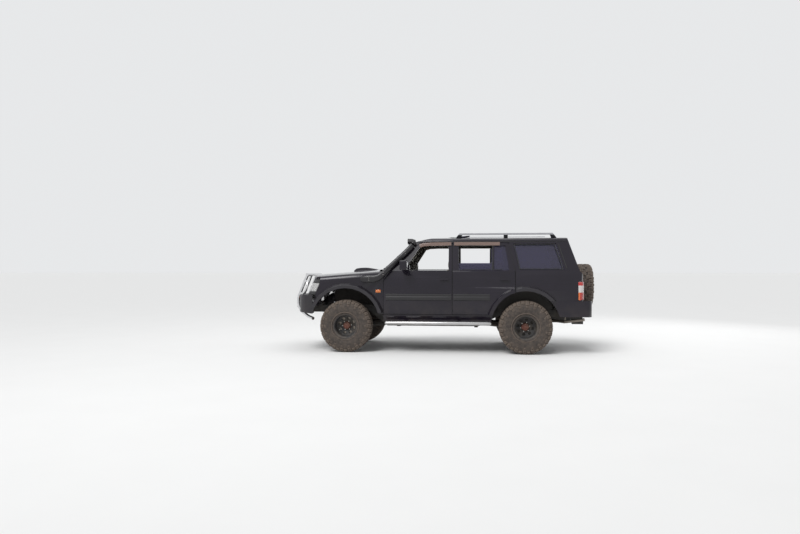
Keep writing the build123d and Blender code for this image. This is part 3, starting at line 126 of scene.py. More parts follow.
def build_floor():
    """Wide pale paper floor that runs into the surround."""
    bpy.ops.mesh.primitive_plane_add(size=600, location=(0, 0, -0.0005))
    floor = bpy.context.object
    floor.name = "floor"
    matter = Matter("floor_paper", (0.80, 0.80, 0.79), 0.85)
    matter.tone(matter.noise(1.3, 3), (0.79, 0.79, 0.785), (0.82, 0.82, 0.815))
    floor.data.materials.append(matter.mat)


def area_light(name, spot, target, size, power):
    """Soft rectangular lamp that faces target."""
    data = bpy.data.lights.new(name, "AREA")
    assign(data, shape="RECTANGLE", size=size[0], size_y=size[1], energy=power)
    turn = (Vector(target) - Vector(spot)).to_track_quat("-Z", "Y").to_euler()
    assign(linked(name, data), location=spot, rotation_euler=turn)


def build_lamps():
    """One wide soft sun, and faint lamps for highlights."""
    light = assign(bpy.data.lights.new("sun", "SUN"), energy=1.9, angle=radians(32))
    turn = Vector((3.0, 5.0, -7.5)).to_track_quat("-Z", "Y").to_euler()
    assign(linked("sun", light), rotation_euler=turn)
    area_light("key", (-3.5, -7.5, 6.5), (0, 0, 0.8), (5.0, 3.0), 110)
    area_light("top", (0.3, 0.5, 7.0), (0, 0, 0), (7.0, 4.0), 90)
    area_light("rear", (6.5, 5.0, 4.5), (0, 0, 0.9), (4.0, 3.0), 80)
    scene.view_settings.view_transform = "Standard"


# Materials

CLEAR = (0.80, 0.86, 0.84)  # window glass
FILM_AND_PAINTED_SKY = (0.085, 0.078, 0.150)  # bluish film on the windows behind the front seats, brightened and blued as a painted sky reflection
CABIN_TRIM = (0.16, 0.15, 0.135)


class Matter:
    """A node material: one shader with colour, roughness and bump built up step by step."""

    def __init__(self, name, color, rough, metallic=0.0, **sockets):
        """Plain shader; sockets sets more values, such as coat_weight for Coat Weight."""
        self.mat = bpy.data.materials.new(name)
        self.mat.use_nodes = True
        self.tree = self.mat.node_tree
        self.shader = self.tree.nodes["Principled BSDF"]
        sockets.update(base_color=(*color, 1), roughness=rough, metallic=metallic)
        for key, value in sockets.items():
            socket = key.replace("_", " ").title().replace("Ior", "IOR")
            self.shader.inputs[socket].default_value = value
        self.source = self.node("TexCoord")
        self.coords = self.source.outputs["Object"]

    def node(self, kind, inputs=None, **settings):
        return add_node(self.tree, kind, inputs or {}, **settings)

    def set(self, socket, source):
        """Drive one of the shader's sockets."""
        self.tree.links.new(source, self.shader.inputs[socket])

    def noise(self, scale, detail=4, roughness=0.55):
        values = {"Vector": self.coords, "Scale": scale, "Detail": detail, "Roughness": roughness}
        return self.node("TexNoise", values).outputs["Fac"]

    def wave(self, scale, direction="X", distortion=0.0):
        values = {"Vector": self.coords, "Scale": scale, "Distortion": distortion}
        return self.node("TexWave", values, bands_direction=direction).outputs["Fac"]

    def axis(self, name, source="Object"):
        """One of the object's own coordinates."""
        return self.node("SeparateXYZ", {0: self.source.outputs[source]}).outputs[name]

    def facing(self, name):
        """One component of the surface's direction."""
        return self.axis(name, "Normal")

    def span(self, value, low, high, to_low=0.0, to_high=1.0):
        values = {"Value": value, "From Min": low, "From Max": high, "To Min": to_low, "To Max": to_high}
        return self.node("MapRange", values, interpolation_type="SMOOTHSTEP").outputs[0]

    def math(self, operation, a, b):
        return self.node("Math", {0: a, 1: b}, operation=operation).outputs[0]

    def below(self, value, limit):
        return self.math("LESS_THAN", value, limit)

    def above(self, value, limit):
        return self.math("GREATER_THAN", value, limit)

    def both(self, a, b):
        return self.math("MULTIPLY", a, b)

    def either(self, a, b):
        return self.math("MAXIMUM", a, b)

    def outboard(self, distance):
        """1 further than distance from the middle plane, 0 elsewhere."""
        return self.above(self.math("ABSOLUTE", self.axis("Y"), 0.0), distance)

    def tone(self, factor, first, second):
        """Base colour from first to second; first may be a socket instead of a colour."""
        start = (*first, 1) if isinstance(first, tuple) else first
        values = {"Factor": factor, "A": start, "B": (*second, 1)}
        self.set("Base Color", self.node("Mix", values, data_type="RGBA").outputs["Result"])

    def over(self, factor, color, share=1.0):
        """Lay a colour over the toned base by a share of factor, and return that amount."""
        amount = factor if share == 1.0 else self.math("MULTIPLY", factor, share)
        self.tone(amount, self.shader.inputs["Base Color"].links[0].from_socket, color)
        return amount

    def rough(self, factor, low, high):
        self.set("Roughness", self.span(factor, 0.0, 1.0, low, high))

    def bump(self, height, strength, distance=0.002):
        values = {"Height": height, "Strength": strength, "Distance": distance}
        self.set("Normal", self.node("Bump", values).outputs[0])

    def dust(self, low, high, color=(0.16, 0.13, 0.095), most=0.5):
        """Dust that thins out with height, broken up by noise."""
        height = self.span(self.axis("Z"), low, high, 1.0, 0.0)
        patches = self.span(self.noise(5.0, 6), 0.35, 0.7)
        return self.over(self.both(height, patches), color, most)


def shade(color, factor, lift=0.0):
    """The colour made darker or lighter, up to white."""
    return tuple(min(c * factor + lift, 1.0) for c in color)


def cabin_side(m):
    """1 on the faces that look into the cabin, its inner walls and the ceiling."""
    outward = m.both(m.facing("Y"), m.math("SIGN", m.axis("Y"), 0.0))
    wall = m.both(m.below(outward, -0.35), m.outboard(0.55))
    ceiling = m.both(m.below(m.facing("Z"), -0.5), m.above(m.axis("Z"), 1.5))
    return m.either(wall, ceiling)


def paint(name, color, lined=False):
    """Gloss paint with a clear coat and dust low down; lined adds pale trim inside the cabin."""
    m = Matter(
        name, color, 0.32, 0.1,
        specular_ior_level=0.1, coat_weight=1.0, coat_roughness=0.03, coat_ior=1.38,
    )
    m.tone(m.noise(2.2, 3), color, shade(color, 1.5, 0.001))
    matte = m.dust(0.45, 1.0, most=0.10)
    if lined:
        inner = cabin_side(m)
        m.over(inner, CABIN_TRIM)
        matte = m.either(inner, matte)
    m.rough(matte, 0.30, 0.75)
    m.bump(m.noise(520.0, 2), 0.02, 0.0004)
    return m.mat


def plastic(name, color, rough=0.5, grain=900.0, dust=0.25):
    """Moulded plastic with a fine grain."""
    m = Matter(name, color, rough)
    m.tone(m.noise(6.0, 5), shade(color, 0.8), shade(color, 1.35, 0.003))
    m.dust(0.35, 1.1, most=dust)
    m.rough(m.noise(30.0, 4), rough - 0.1, rough + 0.14)
    m.bump(m.noise(grain, 2), 0.12, 0.0006)
    return m.mat


def metal(name, color, rough, dust=0.0, scale=14.0):
    """Metal with cloudy roughness and light wear."""
    m = Matter(name, color, rough, 1.0)
    m.tone(m.noise(scale, 5), shade(color, 0.82), color)
    if dust:
        m.dust(0.3, 0.9, (0.2, 0.16, 0.12), dust)
    m.rough(m.noise(scale * 1.7, 6), max(rough - 0.06, 0.03), rough + 0.14)
    m.bump(m.noise(60.0, 2), 0.02, 0.0003)
    return m.mat


def rail_metal(name):
    """Satin silver rail on dark feet."""
    foot_top = 1.962
    m = Matter(name, (0.42, 0.42, 0.44), 0.3, 1.0)
    m.tone(m.noise(20.0, 4), (0.36, 0.36, 0.38), (0.44, 0.44, 0.46))
    foot = m.below(m.axis("Z"), foot_top)
    m.over(foot, (0.02, 0.02, 0.022))
    m.rough(m.either(foot, m.noise(40.0, 4)), 0.25, 0.5)
    m.bump(m.noise(80.0, 2), 0.03, 0.0003)
    return m.mat


def worn_steel(name, color):
    """Painted chassis steel under road dirt, with rust in places."""
    m = Matter(name, color, 0.6)
    m.tone(m.noise(9.0, 7), shade(color, 0.7), shade(color, 1.6))
    m.dust(0.1, 1.2, (0.15, 0.12, 0.09), 0.6)
    m.over(m.span(m.noise(3.1, 8), 0.60, 0.74), (0.12, 0.055, 0.03), 0.55)
    m.rough(m.noise(22.0, 5), 0.5, 0.85)
    m.bump(m.noise(120.0, 5), 0.2, 0.001)
    return m.mat


def glazing(name, color, rough, transmission):
    """Coloured see-through sheet with faint smears."""
    m = Matter(name, color, rough, transmission_weight=transmission, ior=1.45)
    m.rough(m.span(m.noise(4.0, 6), 0.5, 0.8), rough, rough + 0.05)
    return m.mat


def window_glass(name):
    """Light glass ahead of the front seats, filmed glass behind them whose colour is partly a painted sky
    reflection.
    """
    film_start = 0.25
    m = Matter(name, CLEAR, 0.012)
    rear = m.above(m.axis("X"), film_start)
    # rear part: real film tint, its bluish brightness a painted sky reflection
    m.tone(rear, CLEAR, FILM_AND_PAINTED_SKY)
    m.set("Transmission Weight", m.span(rear, 0.0, 1.0, 1.0, 0.72))
    m.rough(m.span(m.noise(4.0, 6), 0.5, 0.8), 0.01, 0.05)
    return m.mat


def lens(name, color, ribs, transmission, direction):
    """Moulded lamp lens with fine flutes under a smooth face."""
    m = Matter(name, color, 0.12, transmission_weight=transmission, coat_weight=1.0, coat_roughness=0.03)
    flutes = m.wave(ribs, direction)
    m.tone(flutes, shade(color, 0.72), shade(color, 1.12))
    m.bump(flutes, 0.25, 0.0012)
    return m.mat


def tail_lens(name):
    """Upright lamp lens: red, clear, then red with an amber corner below, with fine ribs."""
    clear_low, clear_high, amber_end = 1.010, 1.122, 2.205
    m = Matter(name, (0.5, 0.01, 0.01), 0.12, transmission_weight=0.25, coat_weight=1.0, coat_roughness=0.03)
    ribs = m.wave(110.0, "Z")
    height = m.axis("Z")
    m.tone(ribs, (0.42, 0.008, 0.006), (0.62, 0.02, 0.015))
    m.over(m.both(m.below(height, clear_high), m.above(height, clear_low)), (0.74, 0.70, 0.68))
    m.over(m.both(m.below(height, clear_low), m.below(m.axis("X"), amber_end)), (0.80, 0.16, 0.02))
    m.bump(ribs, 0.3, 0.001)
    return m.mat


def rubber(name, color, dusty):
    """Dusty tyre rubber: pale dust on the lugs' edges, painted shade in the grooves, dry mud here and there.
    """
    m = Matter(name, color, 0.82)
    m.tone(m.noise(7.0, 7), color, shade(color, 1.7))
    m.over(m.span(m.noise(24.0, 8, roughness=0.65), 0.30, 0.72), dusty, 0.38)
    bend = m.node("NewGeometry").outputs["Pointiness"]
    m.over(m.span(bend, 0.50, 0.58), shade(dusty, 1.25), 0.55)
    # painted shade: the rubber darkened in the concave grooves between the lugs
    m.over(m.span(bend, 0.50, 0.42), shade(color, 0.45), 0.8)
    m.over(m.span(m.noise(95.0, 4), 0.45, 0.75), shade(dusty, 1.3), 0.22)
    m.rough(m.noise(26.0, 5), 0.68, 0.95)
    m.bump(m.noise(160.0, 6), 0.35, 0.0012)
    return m.mat


def cloth(name, color, second):
    """Woven seat cloth: crossing threads, faint mottling and sheen."""
    threads = 460.0
    m = Matter(name, color, 0.9, sheen_weight=0.35, sheen_roughness=0.5)
    weave = m.both(m.wave(threads, "X", 0.3), m.wave(threads, "Z", 0.3))
    m.tone(m.noise(9.0, 5), color, second)
    m.over(weave, shade(color, 0.55), 0.35)
    m.bump(weave, 0.4, 0.0008)
    return m.mat


def floor_matter(name):
    """Carpet on the floor inside the cabin, dark sealer below it and in the wheel arches."""
    m = Matter(name, (0.055, 0.052, 0.048), 0.9)
    m.tone(m.noise(60.0, 5), (0.042, 0.040, 0.037), (0.068, 0.064, 0.058))
    under, ahead = m.below(m.facing("Z"), -0.2), m.below(m.axis("X"), -0.99)
    m.over(m.either(m.either(under, ahead), m.outboard(0.84)), (0.010, 0.009, 0.009))
    m.bump(m.noise(350.0, 4), 0.3, 0.0015)
    return m.mat


# near-black body paint; its purple cast is a painted sheen
BLACK_WITH_PAINTED_SHEEN = (0.0075, 0.0055, 0.0105)
MATS = {
    "paint": paint("black_paint", BLACK_WITH_PAINTED_SHEEN),
    "trimmed": paint("black_paint_trimmed", BLACK_WITH_PAINTED_SHEEN, lined=True),
    "flare": plastic("flare_plastic", (0.013, 0.011, 0.015), 0.36, 700.0, 0.10),
    "plastic": plastic("black_plastic", (0.016, 0.016, 0.018), 0.5),
    "moulding": plastic("moulding_plastic", (0.008, 0.007, 0.009), 0.36, 800.0, 0.08),
    "snorkel": plastic("snorkel_plastic", (0.008, 0.007, 0.009), 0.34, 600.0, 0.05),
    "trim": plastic("trim_plastic", (0.010, 0.010, 0.011), 0.45, 900.0, 0.1),
    "rubber_trim": plastic("seal_rubber", (0.009, 0.009, 0.009), 0.7, 500.0, 0.1),
    "cabin": plastic("cabin_plastic", (0.055, 0.052, 0.048), 0.6, 420.0, 0.0),
    "floor": floor_matter("floor_carpet"),
    "chrome": metal("bright_tube", (0.74, 0.74, 0.75), 0.12),
    "mirror": metal("mirror_silver", (0.90, 0.91, 0.92), 0.04),
    "step": metal("brushed_step", (0.56, 0.56, 0.56), 0.28, 0.25),
    "rail": rail_metal("rail_metal"),
    "chassis": worn_steel("chassis_steel", (0.028, 0.027, 0.026)),
    "cast": metal("cast_metal", (0.30, 0.28, 0.26), 0.5, 0.5),
    "engine": metal("engine_cast", (0.055, 0.050, 0.047), 0.6, 0.15),
    "pipe": metal("exhaust_steel", (0.34, 0.30, 0.26), 0.42, 0.45),
    "spring": worn_steel("spring_paint", (0.05, 0.05, 0.055)),
    "nut": metal("zinc_steel", (0.42, 0.40, 0.38), 0.36, 0.2),
    "hub": worn_steel("hub_brown", (0.13, 0.045, 0.03)),
    "rim": worn_steel("wheel_black", (0.020, 0.020, 0.022)),
    "tyre": rubber("mud_rubber", (0.018, 0.015, 0.014), (0.150, 0.115, 0.090)),
    "fins": metal("radiator_metal", (0.12, 0.12, 0.12), 0.45),
    "lens": lens("head_lens", (0.82, 0.82, 0.81), 70.0, 0.62, "Y"),
    "amber": lens("amber_lens", (0.85, 0.22, 0.02), 120.0, 0.3, "X"),
    "tail": tail_lens("tail_lens"),
    "glass": window_glass("window_glass"),
    # rear door glass: real tint, its bluish colour partly a painted sky reflection
    "tint": glazing("tinted_glass_painted_sky", FILM_AND_PAINTED_SKY, 0.012, 0.72),
    "smoked": glazing("smoked_visor", (0.30, 0.21, 0.18), 0.06, 0.45),
    "cloth": cloth("seat_cloth", (0.30, 0.27, 0.23), (0.38, 0.35, 0.30)),
}


# Mesh helpers

def place(x, y, z):
    """Point in the shared frame for part.py's millimetres."""
    return Vector((x / 1000 + AXLE, y / 1000, z / 1000))


class Form:
    """Vertices and faces of one piece while it is put together."""

    def __init__(self):
        self.verts = []
        self.faces = []

    def add(self, verts, faces):
        base = len(self.verts)
        self.verts.extend(Vector(v) for v in verts)
        self.faces.extend(tuple(base + i for i in face) for face in faces)
        return self

    def grid(self, rows, close_u=False, close_v=False):
        """Quads over a table of points; rows or columns may close on themselves."""
        n, m = len(rows), len(rows[0])
        faces = []
        for i in range(n if close_u else n - 1):
            for j in range(m if close_v else m - 1):
                a, b = i * m + j, i * m + (j + 1) % m
                c, d = (i + 1) % n * m + (j + 1) % m, (i + 1) % n * m + j
                faces.append((a, b, c, d))
        return self.add([p for row in rows for p in row], faces)

    def walls(self, lower, upper):
        """Side walls between the borders of two tables of points."""
        for i in (0, -1):
            self.grid([lower[i], upper[i]])
            self.grid([[row[i] for row in lower], [row[i] for row in upper]])
        return self

    def lathe(self, profile, steps, centre=(0, 0, 0), spin="Y"):
        """Closed profile of (along, radius) in mm, turned about an axis through centre."""
        rows = []
        for turn in angles(steps):
            row = []
            for along, radius in profile:
                across, up = radius * sin(turn), radius * cos(turn)
                offset = (across, along, up) if spin == "Y" else (along, across, up)
                row.append(Vector(centre) + Vector(offset) / 1000)
            rows.append(row)
        return self.grid(rows, close_u=True, close_v=True)

    def tube(self, path, radius, sides=16):
        """Round tube along a path, capped at both ends; radius is a number, or a list of one per point."""
        radii = radius if isinstance(radius, list) else [radius] * len(path)
        shapes = [[(r * cos(a), r * sin(a)) for a in angles(sides)] for r in radii]
        return self.capped(sweep_rings(path, shapes))

    def capped(self, rings):
        """Closed skin through rings of points, with fan caps."""
        base = len(self.verts)
        m = len(rings[0])
        self.grid(rings, close_v=True)
        for ring, start in ((rings[0], base), (rings[-1], base + (len(rings) - 1) * m)):
            middle = len(self.verts)
            self.verts.append(sum(ring, Vector()) / m)
            self.faces.extend((start + k, start + (k + 1) % m, middle) for k in range(m))
        return self

    def slab(self, corner, opposite, bevel=0.0):
        """Box between two opposite corners with its edges rounded by chamfers."""
        size, middle = Vector(abs(c) for c in opposite - corner), (opposite + corner) / 2
        mesh = bmesh.new()
        bmesh.ops.create_cube(mesh, size=1.0)
        for v in mesh.verts:
            v.co = v.co * size + middle
        if bevel:
            bmesh.ops.bevel(mesh, geom=mesh.edges[:], offset=bevel, segments=2, affect="EDGES", profile=0.6)
        mesh.verts.index_update()
        self.add([v.co.copy() for v in mesh.verts], [tuple(v.index for v in f.verts) for f in mesh.faces])
        mesh.free()
        return self

    def moved(self, shift, turn):
        """The same form turned about the origin and then shifted."""
        made = Form()
        made.verts = [turn @ v + shift for v in self.verts]
        made.faces = list(self.faces)
        return made

    def mesh(self, name, smooth=40):
        """Blender mesh, smooth where its faces meet at less than smooth degrees."""
        mesh = bpy.data.meshes.new(name)
        mesh.from_pydata([tuple(v) for v in self.verts], [], self.faces)
        tidy = bmesh.new()
        tidy.from_mesh(mesh)
        bmesh.ops.remove_doubles(tidy, verts=tidy.verts, dist=0.00002)
        bmesh.ops.recalc_face_normals(tidy, faces=tidy.faces)
        for edge in tidy.edges:
            sharp = len(edge.link_faces) == 2 and edge.calc_face_angle(0.0) > radians(smooth)
            edge.smooth = not sharp
        for face in tidy.faces:
            face.smooth = True
        tidy.to_mesh(mesh)
        tidy.free()
        return mesh

    def piece(self, name, body, look, slot="black_plastic", smooth=40, stands_for=None):
        """The finished object in the material MATS[look], riding on its body."""
        made = linked(name, self.mesh(name, smooth))
        made.data.materials.append(MATS[look])
        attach(made, body)
        if stands_for:
            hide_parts(stands_for)


def sweep_rings(path, shapes):
    """Rings of points across a path; each shape is a loop of (sideways, upward) offsets."""
    rings = []
    side = None
    for i, point in enumerate(path):
        ahead = path[min(i + 1, len(path) - 1)] - path[max(i - 1, 0)]
        ahead.normalize()
        if side is None:
            guide = Vector((0, 0, 1)) if abs(ahead.z) < 0.9 else Vector((1, 0, 0))
            side = guide.cross(ahead).normalized()
        side = (side - ahead * side.dot(ahead)).normalized()
        up = ahead.cross(side)
        rings.append([point + side * u + up * v for u, v in shapes[i]])
    return rings


def bent(points, radius, steps=6):
    """Path with its corners turned into short curves, as a tube bender leaves them."""
    path = [points[0]]
    for before, corner, after in zip(points, points[1:], points[2:]):
        a, b = before - corner, after - corner
        reach = min(radius, a.length * 0.48, b.length * 0.48)
        start, end = corner + a.normalized() * reach, corner + b.normalized() * reach
        for k in range(steps + 1):
            t = k / steps
            path.append(start * (1 - t) ** 2 + corner * 2 * t * (1 - t) + end * t**2)
    path.append(points[-1])
    return path


def skin_tree(name):
    """Search tree over the faces of a CAD node."""
    node = bpy.data.objects[name]
    verts = [node.matrix_world @ v.co for v in node.data.vertices]
    return BVHTree.FromPolygons(verts, [list(p.vertices) for p in node.data.polygons])


def from_ahead(tree, y, z):
    """Point and normal where a ray from the front meets a tree's faces."""
    return tree.ray_cast(place(-FAR, y, z), Vector((1, 0, 0)))[:2]


def skin_strip(node, corners, counts, lift, side):
    """Raised strip laid on a node's side; corners are (X, Z), lift is its section from low to high."""
    tree = skin_tree(node)
    (x0, z0), (x1, z1) = corners
    nx, nz = counts
    root, end_share = 4, 0.6  # depth of the strip's foot in mm, height of its two ends
    rows = []
    for i in range(nx + 1):
        x = x0 + (x1 - x0) * i / nx
        column = []
        for j in range(nz + 1):
            z = z0 + (z1 - z0) * j / nz
            hit = tree.ray_cast(place(x, side * FAR, z), Vector((0, -side, 0)))[0]
            rise = lift[min(j * (len(lift) - 1) // nz, len(lift) - 1)]
            if i in (0, nx):
                rise *= end_share
            column.append(hit + Vector((0, side * rise / 1000, 0)))
        rows.append(column)
    base = [[p - Vector((0, side * root / 1000, 0)) for p in row] for row in rows]
    return Form().grid(rows).grid(base).walls(rows, base)


# Wheels

# Across and radius of the tyre's carcass, from the middle outward
TYRE_CURVE = (
    (0, 421), (55, 420.5), (98, 418), (121, 410), (137, 395), (147, 371), (153, 341),
    (156, 306), (155.5, 272), (151, 242), (143, 219), (137, 207), (134, 199), (132, 193),
)
WALL_RIB = ((152.5, 236), (155.2, 233), (155.6, 228), (151.0, 226))
# Start and end along the curve, start and end of the pitch at each of those two, height
LUG_TABLE = (
    (4, 58, 0.05, 0.50, -0.03, 0.42, 15.5),
    (64, 112, 0.02, 0.40, 0.06, 0.46, 15.5),
    (48, 106, 0.58, 0.92, 0.52, 0.90, 15.5),
    (116, 172, 0.07, 0.50, 0.10, 0.44, 12.0),
    (112, 150, 0.58, 0.94, 0.60, 0.92, 12.5),
    (184, 214, 0.12, 0.40, 0.14, 0.36, 4.0),
)
LUG_TOP = 16.2  # highest a lug may stand above the carcass
PITCHES = 18
# Along and radius of the wheel's rolled barrel
BARREL = (
    (132, 190), (133, 196), (129, 199), (124, 196), (121, 188), (116, 184), (100, 183), (60, 176),
    (-40, 176), (-100, 184), (-121, 188), (-128, 198), (-133, 196), (-131, 186), (-120, 180),
    (-96, 176), (-40, 168), (60, 168), (100, 175), (117, 177), (126, 181),
)
# Radius and Y of the front of the wheel's dished disc
DISH = ((172, -6), (150, -14), (122, -24), (96, -36), (70, -45), (40, -46))
DISH_THICKNESS = 9.0
HUB_PROFILE = (
    (-46, 20), (-46, 66), (-36, 66), (-33, 60), (-12, 58), (-8, 55), (2, 54), (5, 50), (5, 33),
    (8, 30), (12, 28), (13.6, 24), (13.6, 6), (5, 5),
)
BRAKE_PROFILE = ((-64, 84), (-64, 152), (-66, 154), (-74, 154), (-76, 152), (-76, 84), (-64, 84))


def curve_point(curve, s):
    """Place and outward direction at arc length s along a curve of (across, radius)."""
    run = 0.0
    for (y0, r0), (y1, r1) in zip(curve, curve[1:]):
        length = hypot(y1 - y0, r1 - r0)
        if s <= run + length or (y1, r1) == curve[-1]:
            t = (s - run) / length
            return y0 + (y1 - y0) * t, r0 + (r1 - r0) * t, (r0 - r1) / length, (y1 - y0) / length
        run += length


def add_lug(form, curve, row, side, phase):
    """One tread block as a chamfered patch that follows the carcass."""
    start, end, low_start, high_start, low_end, high_end, height = row
    m, n = 5 if end - start > 40 else 3, 3
    layers = []
    for grow, lift in ((3.4, -3.0), (1.4, height - 3.0), (-1.6, height)):
        rows = []
        for i in range(m + 1):
            u = i / m
            y, r, ny, nr = curve_point(curve, start - grow + (end - start + 2 * grow) * u)
            y, r = y + ny * lift, min(r + nr * lift, curve[0][1] + LUG_TOP)
            low = (low_start + (low_end - low_start) * u) * 2 * pi / PITCHES - grow / r
            high = (high_start + (high_end - high_start) * u) * 2 * pi / PITCHES + grow / r
            turns = [low + (high - low) * j / n + phase for j in range(n + 1)]
            rows.append([Vector((r * sin(a), side * y, r * cos(a))) / 1000 for a in turns])
        layers.append(rows)
    form.grid(layers[-1])
    for lower, upper in zip(layers, layers[1:]):
        form.walls(lower, upper)


def tyre_form(diameter, width):
    """Mud tyre about the Y axis at the origin, scaled from the road tyre's curve."""
    k = (diameter / 2 - RIM_RADIUS) / (TYRE_DIAMETER / 2 - RIM_RADIUS)
    w = width / TYRE_WIDTH
    curve, rib = ([(y * w, RIM_RADIUS + (r - RIM_RADIUS) * k) for y, r in c] for c in (TYRE_CURVE, WALL_RIB))
    form = Form().lathe(curve + [(-y, r) for y, r in reversed(curve[1:])], 96)
    for side, shift in ((1, 0.0), (-1, 0.5)):
        form.lathe([(side * y, r) for y, r in rib], 96)
        for phase in angles(PITCHES, shift):
            for start, end, *rest in LUG_TABLE:
                add_lug(form, curve, (start * w, end * w, *rest), side, phase)
    return form


def window_rings(inner, outer, half, per_side):
    """Three rings of (radius, angle), from a sector's border in to the oval hole at its middle."""
    middle, tall, wide, squareness = 125, 21, 25, 0.62
    corners = ((inner, -half), (outer, -half), (outer, half), (inner, half), (inner, -half))
    rings = [[], [], []]
    for (r0, a0), (r1, a1) in zip(corners, corners[1:]):
        for k in range(per_side):
            r, a = r0 + (r1 - r0) * k / per_side, a0 + (a1 - a0) * k / per_side
            x, y = r * cos(a) - middle, r * sin(a)
            box, oval = max(abs(x) / tall, abs(y) / wide), hypot(x / tall, y / wide)
            reach = box * squareness + oval * (1 - squareness)
            for ring, t in zip(rings, (0.0, 0.5, 1.0)):
                share = 1 - t + t / reach
                ring.append((hypot(middle + x * share, y * share), atan2(y * share, middle + x * share)))
    return rings


def rim_form():
    """Steel wheel about the Y axis at the origin, its outer side toward +Y."""
    windows, per_side, bands = 8, 6, 5
    centre, inner, outer, edge = 44, 96, 152, 172.5  # radii of the disc, its windows between inner and outer
    form = Form().lathe(BARREL, 72)
    rings = window_rings(inner, outer, pi / windows, per_side)
    for middle in angles(windows, 0.5):
        skins = []
        for sunk in (0.0, DISH_THICKNESS):
            skins.append([[dish_point(r, a + middle, sunk) for r, a in ring] for ring in rings])
        for rows in skins:
            form.grid(rows, close_v=True)
        form.grid([skins[0][-1], skins[1][-1]], close_v=True)
    for sunk in (0.0, DISH_THICKNESS):
        for r0, r1 in ((edge, outer), (inner, centre)):
            radii = [r0 + (r1 - r0) * k / bands for k in range(bands + 1)]
            rows = [[dish_point(r, a, sunk) for a in angles(windows * per_side)] for r in radii]
            form.grid(rows, close_v=True)
    return form


def dish_point(r, a, sunk):
    """Point on the wheel disc's dished face at radius r and angle a."""
    for (r0, y0), (r1, y1) in zip(DISH, DISH[1:]):
        if r >= r1 or (r1, y1) == DISH[-1]:
            y = y0 + (y1 - y0) * (r - r0) / (r1 - r0)
            return Vector((r * sin(a), y - sunk, r * cos(a))) / 1000


def nut(centre, radius, height):
    """Hexagonal bolt head facing +Y, with a chamfered top, in mm."""
    rings = []
    for r, y in ((radius, 0.0), (radius, height * 0.75), (radius * 0.8, height)):
        rings.append([(centre + Vector((r * cos(a), y, r * sin(a)))) / 1000 for a in angles(6)])
    return Form().capped(rings)


def nut_ring(form, circle, y, radius, height, start=0.0):
    """Six nuts or bolts on a circle about the Y axis."""
    for a in angles(6, start):
        bolt = nut(Vector((circle * sin(a), y, circle * cos(a))), radius, height)
        form.add(bolt.verts, bolt.faces)
    return form


def build_wheels():
    """Detailed tyres, steel wheels, hubs, nuts and brake discs in place of the five plain wheels."""
    road, spare = tyre_form(TYRE_DIAMETER, TYRE_WIDTH), tyre_form(SPARE_DIAMETER, SPARE_WIDTH)
    rim = rim_form()
    hub = (nut_ring(Form().lathe(HUB_PROFILE, 40), 44, 5, 5.0, 5.0), "hub_", "hub", "rim_paint")
    nuts = (nut_ring(Form(), 76, -47, 11.5, 20.0, 0.5), "nuts_", "nut", "rim_paint")
    disc = (Form().lathe(BRAKE_PROFILE, 48), "brake_disc_", "pipe", "cast_metal")

    def add_wheel(tyre, tyre_node, rim_node, body, centre, turn, extras):
        tyre.moved(centre, turn).piece("mud_" + tyre_node, body, "tyre", "tyre", 50, tyre_node)
        rim.moved(centre, turn).piece("steel_" + rim_node, body, "rim", "rim_paint", 40, rim_node)
        for form, word, look, slot in extras:
            form.moved(centre, turn).piece(word + rim_node, body, look, slot, 35)

    for end, x, extras in (("front", 0, (hub, nuts, disc)), ("rear", WHEELBASE, (hub, nuts))):
        for side, word in SIDES:
            centre = place(x, side * HALF_TRACK, TYRE_DIAMETER / 2)
            outward = Matrix.Rotation(pi if side < 0 else 0.0, 3, "Z")
            turn = outward @ Matrix.Rotation(rng.uniform(0, 0.3), 3, "Y")
            tyre_node, rim_node = f"{end}_tyre_{word}", f"{end}_rim_{word}"
            add_wheel(road, tyre_node, rim_node, f"{end}_{word}_wheel", centre, turn, extras)
    low, high = (Vector(v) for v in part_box("spare_tyre"))
    turn = Matrix.Rotation(-pi / 2, 3, "Z")
    add_wheel(spare, "spare_tyre", "spare_rim", "wide_back_door", (low + high) / 2, turn, (nuts,))


# Bars, steps, springs and snorkel

BAR_FRONT, BAR_RADIUS = -940, 27
# X behind the bar's front tube, Y and Z
BAR_HOOP = (
    (150, 470, 1290), (74, 498, 1100), (0, 520, 890), (0, 520, 780), (44, 534, 668), (210, 650, 572),
    (318, 756, 548),
)
BAR_LOOP = ((116, 486, 1180), (200, 700, 1176), (216, 742, 1120), (170, 720, 984), (22, 514, 960))
BAR_UPRIGHT = ((150, 180, 1290), (74, 180, 1100), (6, 180, 920))


def build_bull_bar():
    """Smooth bent tube in place of the flat-sided guard."""
    x, thick, thin = BAR_FRONT + BAR_RADIUS, BAR_RADIUS / 1000, (BAR_RADIUS - 6) / 1000
    bracket_y, bracket_end = 388, -752
    form = Form()
    for side in (1, -1):
        for points, bend, steps, radius, sides in (
            (BAR_HOOP, 0.11, 8, thick, 20), (BAR_LOOP, 0.075, 8, thin, 18), (BAR_UPRIGHT, 0.08, 6, thin, 18),
        ):
            path = [place(x + a, side * b, c) for a, b, c in points]
            form.tube(bent(path, bend, steps), radius, sides)
        form.slab(place(x, side * bracket_y - 8, 700), place(bracket_end, side * bracket_y + 8, 790), 0.002)
    for dx, z in ((150, 1290), (6, 920), (0, 740)):
        form.tube([place(x + dx, y, z) for y in (-514, 0, 514)], thick, 20)
    form.piece("bright_bull_bar", ROOT, "chrome", "chrome", 60, "bull_bar")


